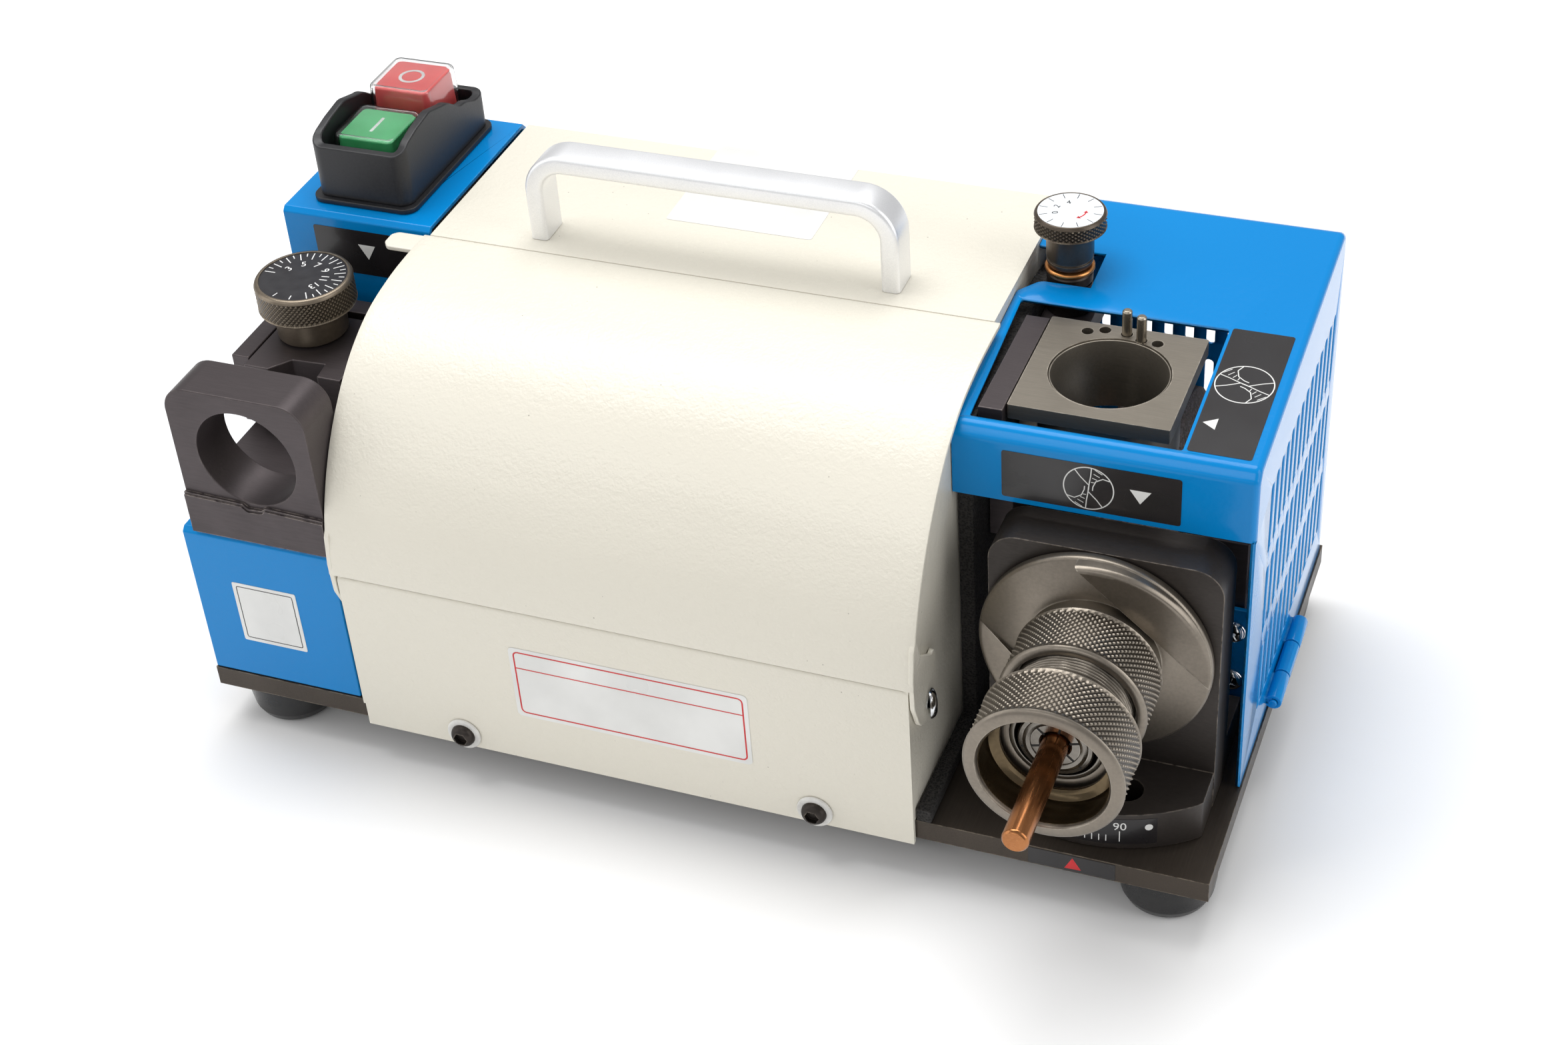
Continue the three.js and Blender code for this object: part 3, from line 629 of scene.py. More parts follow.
def grown(tree, points, values, turns=None, sharp=32):
    """Runs a Geometry Nodes tree on a set of points and returns the plain mesh."""
    seed = bpy.data.meshes.new("points")
    seed.from_pydata([tuple(p) for p in points], [], [])
    if turns:
        attribute = seed.attributes.new("turn", "FLOAT_VECTOR", "POINT")
        for i, turn in enumerate(turns):
            attribute.data[i].vector = turn
    return smoothed(run_tree(tree, seed, values), sharp)


def head_size(radius, height, drive_depth, finish):
    """The inputs of a screw head, from millimetres."""
    return {"Radius": radius * MM, "Height": height * MM, "Drive Depth": drive_depth * MM, "Finish": finish}


FACE_FRONT = (math.pi / 2, 0, 0)
button_head = recessed_head("button_head", "hexagon")
screw_black = worked_metal("blackened_screw", (0.045, 0.038, 0.034), (0.2, 0.17, 0.14), 0.36, 0.8,
                           (900.0, 900.0, 900.0), 0.00002)
nylon, tree, shader = blank_material("nylon_washer")
mottle = mottled(tree, object_place(tree), 300.0, 4.0)
ramped(tree, shader, "Base Color", mottle.outputs["Fac"],
       [(0.35, (0.62, 0.61, 0.58)), (0.7, (0.78, 0.77, 0.74))])
ramped(tree, shader, "Roughness", mottle.outputs["Fac"], [(0.3, 0.28), (0.7, 0.45)])
for side, x in (("left", 88.9), ("right", 203.6)):
    head = grown(button_head, [at(x, -2.95, 4)],
                 head_size(3.9, 2.6, 1.7, screw_black), [FACE_FRONT])
    washer = turned(eased([(2.0, -2.95), (5.3, -2.95), (5.6, -2.5), (5.6, -2.12), (2.0, -2.12)], 0.3, 3),
                    (x, 0, 4), "Y", 64)
    join_piece("front_screw_%s_head" % side, gathered(head, coated(washer, nylon)), None, "frame",
               "black_oxide_steel", "front_screw_" + side)

# ---------------------------------------------------------------------------
# Lid: one curved sheet, rolled by hand over a former so that it waves a little,
# with a pierced ear at each lower corner and a finger tab at the left rear.
lid_line = [(-2.8, 58.7), (-2.3, 65), (-0.9, 72), (2.2, 81.5), (7.3, 91.8), (14.2, 101.8), (23.4, 111.4),
            (33, 118.4), (44.5, 123.6), (58, 126.2), (70, 127), (81.8, 127)]


def smooth_line(points, count):
    """Even points along a Catmull-Rom line."""
    dense = []
    pts = [points[0], *points, points[-1]]
    for i in range(1, len(pts) - 2):
        for k in range(24):
            t = k / 24
            p0, p1, p2, p3 = (Vector(q) for q in pts[i - 1:i + 3])
            curve = 2 * p1 + (p2 - p0) * t + (2 * p0 - 5 * p1 + 4 * p2 - p3) * t * t
            dense.append(0.5 * (curve + (3 * p1 - p0 - 3 * p2 + p3) * t ** 3))
    dense.append(Vector(points[-1]))
    reach = [0.0]
    for a, b in zip(dense, dense[1:]):
        reach.append(reach[-1] + (b - a).length)
    out, j = [], 0
    for i in range(count + 1):
        want = reach[-1] * i / count
        while j < len(reach) - 2 and reach[j + 1] < want:
            j += 1
        f = (want - reach[j]) / max(reach[j + 1] - reach[j], 1e-9)
        out.append(dense[j].lerp(dense[j + 1], f))
    return out


def ripple(x, j, across_scale, along_scale, seed):
    """How far hand rolling left the sheet out of true, from -1 to 1."""
    return noise.noise(Vector((x * across_scale, j * along_scale, seed)))


along, across = 72, 60
lid_profile = smooth_line(lid_line, along)
sheet_left, sheet_right, lid_thick = 52.4, 235.9, 1.5
shape = bmesh.new()
skin = []
for j, p in enumerate(lid_profile):
    ahead = lid_profile[min(j + 1, along)] - lid_profile[max(j - 1, 0)]
    inward = Vector((ahead.y, -ahead.x)).normalized()
    row = []
    for i in range(across + 1):
        x = sheet_left + (sheet_right - sheet_left) * i / across
        wave = ripple(x, j, 0.011, 0.16, 2.0) * 0.16 + ripple(x, j, 0.004, 0.34, 7.0) * 0.13
        fade = min(1, j / 8, (along - j) / 8, i / 6, (across - i) / 6)
        q = p + inward * (0.14 + wave * 0.55) * fade
        row.append(shape.verts.new(at(x, q.x, q.y)))
    skin.append(row)
for j in range(along):
    for i in range(across):
        shape.faces.new((skin[j][i], skin[j][i + 1], skin[j + 1][i + 1], skin[j + 1][i]))
mesh = bpy.data.meshes.new("lid_skin")
shape.to_mesh(mesh)
shape.free()
cover = settled(mesh, ("SOLIDIFY", dict(thickness=lid_thick * MM, offset=-1.0, use_even_offset=True)),
                bevel(0.35, 2, 50), sharp=40)
ear_line = [(-2.75, 62.5), (-2.2, 52, 6), (2.0, 42.0, 7), (7.5, 39.6, 6), (12.4, 39.6, 4), (15.4, 43, 4),
            (16.4, 48, 5), (17, 57.5, 2), (15.6, 60.2, 1.5), (13.6, 59.6, 1.5), (4.6, 66.4, 4),
            (0.6, 75.4, 3), (-1.5, 72)]
ears = []
for x in (sheet_left, sheet_right - lid_thick):
    blank = outline_prism(eased(ear_line, 0, 5), x, x + lid_thick, "X")
    ears.append(broken_edges(blank, 0.3, 2, 40))
tab = outline_prism(eased([(56, 72.8), (44, 72.8, 2.2), (42.2, 75, 2), (42.2, 79.5, 2), (44, 81.2, 2.2),
                           (56, 81.2)], 0, 6), 125.45, 126.95)
ears.append(broken_edges(tab, 0.35, 2, 40))
join_piece("lid_sheet", gathered(cover, *ears), cream, "lid", "cream_powder_coat", "lid")

# Lid pivots: bright chromed pan-head screws with a crossed drive, one through each ear.
bright_chrome = worked_metal("bright_chrome", (0.62, 0.63, 0.64), (0.8, 0.8, 0.8), 0.14, 1.0,
                             (400.0, 400.0, 400.0), 0.00001, 0.3, 0.1, 0.1)
pan_head = recessed_head("pan_head", "cross")
for side, x, turn in (("right", sheet_right + 0.2, (0, math.pi / 2, 0.4)),
                      ("left", sheet_left - 0.2, (0, -math.pi / 2, 0.2))):
    head = grown(pan_head, [at(x, 9.5, 45)], head_size(4.6, 2.3, 1.5, bright_chrome), [turn])
    inner = -1 if side == "right" else 1
    shank = turned([(0, x + inner * 4.4), (2.0, x + inner * 4.4), (2.0, x), (0, x)], (0, 9.5, 45), "X", 32,
                   close=False)
    join_piece("lid_pivot_%s_head" % side, gathered(head, coated(shank, bright_chrome)), None, "frame",
               "bright_chrome", "lid_pivot_screw_" + side)

# ---------------------------------------------------------------------------
# Carrying handle: a flat extruded aluminium bar bent into a bow, its long edges
# well rounded, blasted and clear anodised. Screwed up through the rear top.
satin = worked_metal("anodised_aluminium", (0.80, 0.81, 0.84), (0.9, 0.9, 0.92), 0.40, 0.8,
                     (3200.0, 3200.0, 3200.0), 0.00002, 0.25, 0.12, 0.08)
bar_half_width, bar_thick = 5.8, 5.8
bow_left, bow_right, bow_foot, bow_top, bow_radius = 85.5, 203.6, 127.15, 156.5, 17


def walled(shape, rings):
    """Faces from each ring of points to the next."""
    for a, b in zip(rings, rings[1:]):
        for i in range(len(a)):
            shape.faces.new((a[i - 1], a[i], b[i], b[i - 1]))


bow = [(bow_left, bow_foot), (bow_left, bow_top), (bow_right, bow_top), (bow_right, bow_foot)]
bow_line = [Vector(p) for p in eased(bow, bow_radius, 20, closed=False)]
section = eased([(-bar_half_width, 0), (bar_half_width, 0), (bar_half_width, bar_thick),
                 (-bar_half_width, bar_thick)], 1.5, 5)
shape, hoops = bmesh.new(), []
for i, p in enumerate(bow_line):
    if i == 0:
        inward = Vector((1, 0))
    elif i == len(bow_line) - 1:
        inward = Vector((-1, 0))
    else:
        run = (bow_line[i + 1] - p).normalized() + (p - bow_line[i - 1]).normalized()
        inward = Vector((run.y, -run.x)).normalized()
    hoops.append([shape.verts.new(at(p.x + inward.x * d, 93.8 + w, p.y + inward.y * d)) for w, d in section])
walled(shape, hoops)
shape.faces.new(hoops[0])
shape.faces.new(hoops[-1])
mesh = faced_out(shape, "bow")
join_piece("carry_handle_bow", smoothed(mesh, 50), satin, "frame", "satin_aluminium", "carry_handle")

# ---------------------------------------------------------------------------
# Left housing: folded sheet in vivid blue powder coat. The low part carries the
# gauge and the rear part the switch; the coat thins to a bright line on the bends.
blue = powder_coat("blue_powder", (0.0, 0.245, 0.62), (0.0, 0.20, 0.545), (0.0, 0.06, 0.25), 0.24, 0.00016,
                   620.0, 260.0, 0.3, (0.16, 0.50, 0.86), 0.6)
blue.node_tree.nodes["Principled BSDF"].inputs["Specular IOR Level"].default_value = 0.1
blue.node_tree.nodes["Principled BSDF"].inputs["Coat Weight"].default_value = 0.9
blue.node_tree.nodes["Principled BSDF"].inputs["Coat IOR"].default_value = 1.24
blue.node_tree.nodes["Principled BSDF"].inputs["Coat Roughness"].default_value = 0.12
from_cad("left_housing", "_sheet", 0.8, blue, "blue_powder_coat", 3, 40)

# ---------------------------------------------------------------------------
# Setting block and gauge: milled steel blocks, hot blackened. Corners are chamfered
# by hand and rub bright. The block's front has a shallow ledge with a locating kink.
black_block = worked_metal("blackened_block", (0.070, 0.058, 0.060), (0.36, 0.31, 0.28), 0.40, 0.62,
                           (140.0, 2600.0, 1500.0), 0.00003, 1.15, 0.25, 0.4)
block_face = eased([(5, 63.3), (52, 63.3), (52, 116, 8.2), (5, 116, 8.2)], 0, 12)
bore = circle(29.4, 94, 16.4, 72)
block = broken_edges(outline_prism(block_face, 0.9, 17, "Y", [bore]), 0.35, 2, 25)
ledge = eased([(5, 63.3), (52, 63.3), (52, 75.6), (32.6, 76.4), (31.4, 75.2, 0.8), (26.4, 74.9, 1.2),
               (24.6, 76.6, 1.2), (5, 77.2)], 0.2, 3)
shelf = broken_edges(outline_prism(ledge, -0.4, 1.2, "Y"), 0.35, 2, 30)
groove_line = eased([(5, 78.0), (24.8, 77.4, 1.0), (26.6, 75.9, 1.0), (31.2, 76.1, 1.0), (32.8, 77.3, 1.0),
                     (52, 76.5)], 0.2, 3, closed=False)
rib = eased([*groove_line, *[(x, z - 0.9) for x, z in reversed(groove_line)]], 0.05, 1)
bead = broken_edges(outline_prism(rib, 0.0, 1.3, "Y"), 0.25, 2, 40)
join_piece("setting_block_milled", gathered(block, shelf, bead), black_block, "frame", "black_oxide_steel",
           "setting_block")
from_cad("gauge_floor", "_milled", 0.35, black_block, "black_oxide_steel")
from_cad("gauge_body", "_milled", 0.4, black_block, "black_oxide_steel")
from_cad("gauge_jaw", "_milled", 0.35, black_block, "machined_steel")

# Web dial: turned steel knob with a diamond knurl rolled into its rim, on a plain
# stem. Its black printed face carries the drill sizes.


def rolled_band():
    """A Geometry Nodes tree: a band rolled round an axis, with single or crossed grooves pressed in."""
    tree, given = shape_tree(
        "rolled_band", ("Radius", "Float"), ("Length", "Float"), ("Depth", "Float"), ("Teeth", "Int"),
        ("Rows", "Float"), ("Around", "Int"), ("Along", "Int"), ("Crossed", "Bool"), ("Ease", "Float"))
    n_u = sums(tree, "ADD", given["Around"], 1.0)
    n_v = sums(tree, "ADD", given["Along"], 1.0)
    sheet = node(tree, "GeometryNodeMeshGrid",
                 {"Size X": 1.0, "Size Y": 1.0, "Vertices X": n_u, "Vertices Y": n_v})
    place = node(tree, "ShaderNodeSeparateXYZ", {0: node(tree, "GeometryNodeInputPosition")})
    u = sums(tree, "ADD", place.outputs["X"], 0.5)
    v = sums(tree, "ADD", place.outputs["Y"], 0.5)
    a = sums(tree, "MULTIPLY", u, given["Teeth"])
    b = sums(tree, "MULTIPLY", v, given["Rows"])

    def wave(value):
        back_forth = sums(tree, "PINGPONG", value, 0.5)
        return sums(tree, "MULTIPLY", back_forth, 2.0)

    one = wave(sums(tree, "ADD", a, b))
    other = wave(sums(tree, "SUBTRACT", a, b))
    both = sums(tree, "MINIMUM", one, other)
    height = node(tree, "GeometryNodeSwitch", {"Switch": given["Crossed"], "False": one, "True": both},
                  input_type="FLOAT")
    # the pattern runs out towards both ends of the band
    edge = wave(v)
    fade = remapped(tree, edge, 0.0, given["Ease"])
    kept = sums(tree, "SUBTRACT", height, 1.0)
    cut = sums(tree, "MULTIPLY", kept, fade)
    drop = sums(tree, "MULTIPLY", cut, given["Depth"])
    radius = sums(tree, "ADD", given["Radius"], drop)
    turn = sums(tree, "MULTIPLY", u, 2 * math.pi)
    cosine = sums(tree, "COSINE", turn)
    sine = sums(tree, "SINE", turn)
    spot = node(tree, "ShaderNodeCombineXYZ", {
        0: sums(tree, "MULTIPLY", cosine, radius),
        1: sums(tree, "MULTIPLY", sine, radius),
        2: sums(tree, "MULTIPLY", v, given["Length"])})
    pressed = node(tree, "GeometryNodeStoreNamedAttribute",
                   {"Geometry": sheet.outputs["Mesh"], "Name": "pressed", "Value": cut}, data_type="FLOAT",
                   domain="POINT")
    rolled = node(tree, "GeometryNodeSetPosition", {"Geometry": pressed, "Position": spot})
    closed = node(tree, "GeometryNodeMergeByDistance", {"Geometry": rolled, "Distance": 0.000001})
    return made_real(tree, on_points(tree, given, closed), given)


rolled = rolled_band()


def band_piece(profile, band, place, axis, teeth, rows, depth, finish, crossed=True, fine=4, ease=0.12):
    """A turned body whose outer band (low, high, radius) carries a rolled pattern.

    The profile runs from the band's top end, round the rest of the body, to the band's low end.
    """
    low, high, radius = band
    around = teeth * fine if crossed else 160
    along = max(4, int(round(rows * (fine if crossed else 10))))
    turn = {"Z": (0, 0, 0), "Y": (-math.pi / 2, 0, 0), "X": (0, math.pi / 2, 0)}[axis]
    foot = {"Z": (place[0], place[1], place[2] + low), "Y": (place[0], place[1] + low, place[2])}[axis]
    knurl = grown(rolled, [at(*foot)], {"Radius": radius * MM, "Length": (high - low) * MM,
                                        "Depth": depth * MM, "Teeth": teeth, "Rows": float(rows),
                                        "Around": around, "Along": along, "Crossed": crossed, "Ease": ease,
                                        "Finish": finish}, [turn], sharp=60)
    body = turned([(radius, high), *profile, (radius, low)], place, axis, around, close=False)
    whole = gathered(knurl, coated(body, finish))
    shape = bmesh.new()
    shape.from_mesh(whole)
    bmesh.ops.remove_doubles(shape, verts=shape.verts, dist=2e-6)
    bmesh.ops.recalc_face_normals(shape, faces=shape.faces)
    shape.to_mesh(whole)
    shape.free()
    return smoothed(whole, 48)


def knurled_metal(name, colour, pit, roughness, metallic, worn):
    """Turned steel, its colour blended towards a darker one down in the pressed grooves."""
    made = worked_metal(name, colour, worn, roughness, metallic, (900.0, 900.0, 900.0), 0.00002, 0.7, 0.2,
                        0.3)
    tree = made.node_tree
    shader = tree.nodes["Principled BSDF"]
    before = shader.inputs["Base Color"].links[0].from_socket
    pressed = node(tree, "ShaderNodeAttribute", attribute_name="pressed")
    depth = remapped(tree, pressed.outputs["Fac"], -0.35, -0.9)
    tree.links.new(blend_colour(tree, depth.outputs[0], before, pit), shader.inputs["Base Color"])
    return made


dial_steel = knurled_metal("knurled_dial_steel", (0.20, 0.165, 0.125), (0.03, 0.024, 0.018), 0.36, 0.85,
                           (0.5, 0.43, 0.34))
web_x, web_y = 20, 61
dial = band_piece([(15.1, 118.7), (14.7, 119.25), (14.0, 119.45), (13.75, 119.4), (13.7, 119.05),
                   (0, 119.05)], (110.3, 118.2, 15.3), (web_x, web_y, 0), "Z", 62, 5, 0.5, dial_steel)
under = turned([(0, 80.3), (3.3, 80.3), (3.3, 100.15), (10.7, 100.15), (11.0, 100.5), (11.15, 109.3),
                (11.6, 109.6), (14.3, 109.6), (15.0, 109.9), (15.3, 110.35), (14.2, 110.6), (0, 110.6)],
               (web_x, web_y, 0), "Z", 96, close=False)
join_piece("web_dial_knob", gathered(dial, coated(under, dial_steel)), None, "web_knob", "nickel_steel",
           "web_dial")


def ink(name, colour, roughness, colour_two=None, coat=0.0, scale=260.0, depth=0.00001):
    """Printing ink, lacquer or vinyl film, with the faint mottle of a printed surface."""
    made, tree, shader = blank_material(name)
    mottle = mottled(tree, object_place(tree), scale, 3.0)
    other = colour_two or tuple(c * 0.85 for c in colour)
    ramped(tree, shader, "Base Color", mottle.outputs["Fac"], [(0.35, other), (0.65, colour)])
    ramped(tree, shader, "Roughness", mottle.outputs["Fac"],
           [(0.3, roughness - 0.03), (0.7, roughness + 0.06)])
    shader.inputs["Coat Weight"].default_value = coat
    bumped(tree, shader, mottle.outputs["Fac"], 0.4, depth)
    return made


white_ink = ink("white_ink", (0.86, 0.86, 0.85), 0.4)
black_ink = ink("black_ink", (0.018, 0.018, 0.02), 0.35)
red_ink = ink("red_ink", (0.68, 0.022, 0.03), 0.38)
black_lacquer = ink("black_lacquer", (0.020, 0.019, 0.022), 0.30, (0.014, 0.013, 0.016), 0.2)
white_lacquer = ink("white_lacquer", (0.80, 0.83, 0.86), 0.28, (0.75, 0.78, 0.81), 0.3)


def ribbon(points, width, closed=False):
    """A flat stroke along points, as (vertices, faces) in its own plane."""
    pts = [Vector(p) for p in points]
    verts, faces = [], []
    n = len(pts)
    for i, p in enumerate(pts):
        before = pts[i - 1] if i or closed else p
        after = pts[(i + 1) % n] if i < n - 1 or closed else p
        run = (after - before).normalized()
        side = Vector((-run.y, run.x)) * width / 2
        verts += [p + side, p - side]
    for i in range(n if closed else n - 1):
        j = (i + 1) % n
        faces.append((2 * i, 2 * i + 1, 2 * j + 1, 2 * j))
    return verts, faces


def patch(points):
    return [Vector(p) for p in points], [tuple(range(len(points)))]


def figure(text, size, x, y, turn=0.0):
    """A number as flat faces, centred on x, y and turned."""
    curve = bpy.data.curves.new("figure", "FONT")
    curve.body = text
    curve.size = size
    curve.align_x, curve.align_y = "CENTER", "CENTER"
    curve.resolution_u = 3
    holder = bpy.data.objects.new("figure", curve)
    mesh = holder.to_mesh()
    spin = Matrix.Rotation(turn, 2)
    verts = [spin @ v.co.xy + Vector((x, y)) for v in mesh.vertices]
    faces = [tuple(f.vertices) for f in mesh.polygons]
    holder.to_mesh_clear()
    bpy.data.objects.remove(holder)
    bpy.data.curves.remove(curve)
    return verts, faces


def printed(parts, origin, right, up, thick, material):
    """Flat marks set on a plane in the machine and given a film's thickness, as one closed mesh."""
    right, up = Vector(right).normalized(), Vector(up).normalized()
    out = right.cross(up)
    start = at(*origin)
    shape = bmesh.new()
    for verts, faces in parts:
        made = [shape.verts.new(start + (right * v.x + up * v.y) * MM) for v in verts]
        for f in faces:
            try:
                shape.faces.new([made[k] for k in f])
            except ValueError:
                pass
    bmesh.ops.recalc_face_normals(shape, faces=shape.faces)
    for face in shape.faces:
        face.normal_update()
        if face.normal.dot(out) < 0:
            face.normal_flip()
    grown_faces = bmesh.ops.extrude_face_region(shape, geom=shape.faces[:], use_keep_orig=True)
    lifted = [g for g in grown_faces["geom"] if isinstance(g, bmesh.types.BMVert)]
    bmesh.ops.translate(shape, verts=lifted, vec=out * thick * MM)
    bmesh.ops.remove_doubles(shape, verts=shape.verts, dist=1e-7)
    mesh = faced_out(shape, "print")
    return coated(mesh, material)


def radial(angle, r):
    return (r * math.cos(angle), r * math.sin(angle))


def dial_ticks(angles, inner, outer, width):
    return [ribbon([radial(a, inner), radial(a, outer)], width) for a in angles]


face_disc = [patch(circle(0, 0, 13.62, 96))]
marks = []
first, last = math.radians(196), math.radians(-42)
for i in range(25):
    a = first + (last - first) * i / 24
    marks += dial_ticks([a], 9.6 if i % 2 == 0 else 11.4, 13.1, 0.32)
marks += dial_ticks([math.radians(-66), math.radians(-92)], 10.9, 12.9, 0.32)
for text, degrees, r in (("3", 171, 7.0), ("5", 131, 7.0), ("7", 94, 6.9), ("9", 57, 6.9), ("11", 20, 6.9),
                         ("13", -18, 6.9)):
    a = math.radians(degrees)
    marks.append(figure(text, 3.7, *radial(a, r), a - math.pi / 2))
web_spin = math.radians(-14)
right, up = (math.cos(web_spin), math.sin(web_spin), 0), (-math.sin(web_spin), math.cos(web_spin), 0)
join_piece("web_dial_face", printed(face_disc, (web_x, web_y, 119.08), right, up, 0.09, black_lacquer),
           None, "web_knob", "black_plastic")
join_piece("web_dial_marks", printed(marks, (web_x, web_y, 119.175), right, up, 0.03, white_ink), None,
           "web_knob", None)

# ---------------------------------------------------------------------------
# Switch: a black moulded bezel with a swept rim, a green starting and a taller red
# stopping button, each under its own clear soft cap.
moulded = ink("moulded_black", (0.016, 0.016, 0.018), 0.42, (0.010, 0.010, 0.012), 0.0, 1500.0, 0.00004)
from_cad("switch_insert", "_block", 0.3, moulded, "black_plastic")
flange = outline_prism(eased([(7.8, 90.6), (43.8, 90.6), (43.8, 150.3), (7.8, 150.3)], 4.5, 8), 126.8,
                       128.4, "Z", [eased([(12.2, 95.4), (12.2, 146.9), (39.2, 146.9), (39.2, 95.4)], 2.0,
                                          4)])
flange = broken_edges(flange, 0.3, 2, 30)
wall_out = eased([(9.5, 92.4), (42.1, 92.4), (42.1, 149.4), (9.5, 149.4)], 4.2, 10)
rim_line = [(92.4, 145.9), (98, 148.6), (104, 150.0), (113, 151.2), (122.2, 148.6), (134, 142.8),
            (143.4, 139.9), (149.4, 140.4)]


def rim_height(y):
    for (y0, z0), (y1, z1) in zip(rim_line, rim_line[1:]):
        if y <= y1:
            t = (y - y0) / (y1 - y0)
            t = t * t * (3 - 2 * t) if y0 > 120 else t
            return z0 + (z1 - z0) * t
    return rim_line[-1][1]


def along_outline(outline, spacing):
    """The same closed outline with points no further apart than the spacing."""
    out = []
    for i, p in enumerate(outline):
        q = outline[(i + 1) % len(outline)]
        parts = max(1, int(math.ceil(math.dist(p, q) / spacing)))
        out += [(p[0] + (q[0] - p[0]) * k / parts, p[1] + (q[1] - p[1]) * k / parts) for k in range(parts)]
    return out


dense_out = along_outline(wall_out, 1.6)
shape = bmesh.new()
levels, inner_match = [], []
for p in dense_out:
    x = min(max(p[0], 12.2), 39.2)
    y = min(max(p[1], 95.4), 146.9)
    # follow the inner outline's rounded corner
    cx, cy = min(max(p[0], 14.4), 37.0), min(max(p[1], 97.6), 144.7)
    d = Vector((p[0] - cx, p[1] - cy))
    inner_match.append((cx + d.normalized().x * 2.2, cy + d.normalized().y * 2.2)
                       if (p[0] != cx and p[1] != cy) else (x, y))
for outline, tops in ((dense_out, 0.0), (dense_out, 1.0), (inner_match, 1.0), (inner_match, 0.0)):
    row = []
    for p, o in zip(outline, dense_out):
        z = rim_height(o[1]) if tops else (128.3 if outline is dense_out else 130.6)
        row.append(shape.verts.new(at(p[0], p[1], z)))
    levels.append(row)
for a, b in zip(levels, levels[1:]):
    for i in range(len(a)):
        j = (i + 1) % len(a)
        shape.faces.new((a[i], a[j], b[j], b[i]))
shape.faces.new(list(reversed(levels[3])))
shape.faces.new(levels[0])
bmesh.ops.remove_doubles(shape, verts=shape.verts, dist=1e-7)
mesh = faced_out(shape, "bezel")
wall = settled(mesh, bevel(0.55, 3, 50),
               flat_light)
join_piece("switch_bezel_shell", gathered(flange, wall), moulded, "frame", "black_plastic", "switch_bezel")

clear, tree, shader = blank_material("clear_cap")
shader.inputs["Transmission Weight"].default_value = 1.0
shader.inputs["IOR"].default_value = 1.46
waves = mottled(tree, object_place(tree), 130.0, 2.0)
ramped(tree, shader, "Base Color", waves.outputs["Fac"],
       [(0.3, (0.97, 0.985, 0.99)), (0.7, (0.99, 1.0, 1.0))])
ramped(tree, shader, "Roughness", waves.outputs["Fac"], [(0.3, 0.02), (0.7, 0.07)])
bumped(tree, shader, waves.outputs["Fac"], 0.3, 0.00008)


def tapered_block(x0, x1, y0, y1, z0, z1, draw, radius, edge):
    """A moulded block with rounded corners that draws in towards its top."""
    low = eased([(x0, y0), (x1, y0), (x1, y1), (x0, y1)], radius, 8)
    high = eased([(x0 + draw, y0 + draw), (x1 - draw, y0 + draw), (x1 - draw, y1 - draw),
                  (x0 + draw, y1 - draw)], radius, 8)
    shape = bmesh.new()
    a = [shape.verts.new(at(*p, z0)) for p in low]
    b = [shape.verts.new(at(*p, z1)) for p in high]
    walled(shape, [a, b])
    shape.faces.new(a)
    shape.faces.new(b)
    mesh = faced_out(shape, "block")
    if not edge:
        return mesh
    return settled(mesh, ("BEVEL", dict(width=edge * MM, segments=4, limit_method="ANGLE",
                                        angle_limit=math.radians(45))), flat_light)


for word, y0, top, colour, deep in (("start", 98.5, 147.0, (0.09, 0.56, 0.21), (0.06, 0.47, 0.16)),
                                    ("stop", 123.3, 151.0, (0.92, 0.15, 0.14), (0.84, 0.10, 0.10))):
    dyed = ink(word + "_button_plastic", colour, 0.36, deep, 0.25, 90.0, 0.00003)
    pad = tapered_block(14.9, 34.7, y0 + 1.5, y0 + 20.5, 134.2, top - 1.35, 0.5, 2.0, 0.7)
    stem = tapered_block(18.0, 31.4, y0 + 4.4, y0 + 17.6, 117.0, 134.8, 0.05, 0.8, 0)
    join_piece(word + "_button_pad", gathered(pad, stem), dyed, word, "green_plastic"
               if word == "start" else "red_plastic", word + "_button")
    sign = ([ribbon([(-4.4, 0), (4.4, 0)], 1.0)]
            if word == "start" else [ribbon(circle(0, 0, 3.7, 48), 1.0, closed=True)])
    join_piece(word + "_button_sign", printed(sign, (24.8, y0 + 11, top - 1.34), (0, 1, 0)
                                              if word == "start" else (1, 0, 0), (-1, 0, 0)
                                              if word == "start" else (0, 1, 0), 0.05, white_ink), None,
               word, None)
    outer = tapered_block(13.4, 36.2, y0, y0 + 22, 134.0, top, 0.7, 2.6, 0)
    mesh = bpy.data.meshes.new("cap")
    shape = bmesh.new()
    shape.from_mesh(outer)
    shape.faces.ensure_lookup_table()
    bottom = min(shape.faces, key=lambda f: f.calc_center_median().z)
    bmesh.ops.delete(shape, geom=[bottom], context="FACES_ONLY")
    shape.to_mesh(mesh)
    shape.free()
    bpy.data.meshes.remove(outer)
    cap = settled(mesh, bevel(1.3, 5, 45),
                  ("SOLIDIFY", dict(thickness=0.75 * MM, offset=-1.0, use_even_offset=True)), sharp=60)
    join_piece(word + "_cap_shell", cap, clear, word, "clear_plastic", word + "_cap")

# Cable gland at the back: a moulded clamping nut and a soft collar, for the mains lead.
gland = turned(eased([(4, 148.8), (6, 148.8), (6, 155.4), (9.4, 155.4), (9.4, 160.6), (7.9, 162.8),
                      (7.5, 164.2), (7.2, 166.9), (4, 166.9)], 0.5, 3), (26, 0, 40), "Y", 64)
gland_grips = []
for k in range(18):
    a = 2 * math.pi * k / 18
    middle = (26 + 9.35 * math.cos(a), 40 + 9.35 * math.sin(a))
    gland_grips.append(outline_prism(circle(*middle, 0.55, 8), 155.8, 160.3, "Y"))
join_piece("cable_gland_nut", gathered(gland, *gland_grips), moulded, "frame", "black_plastic", "cable_gland")

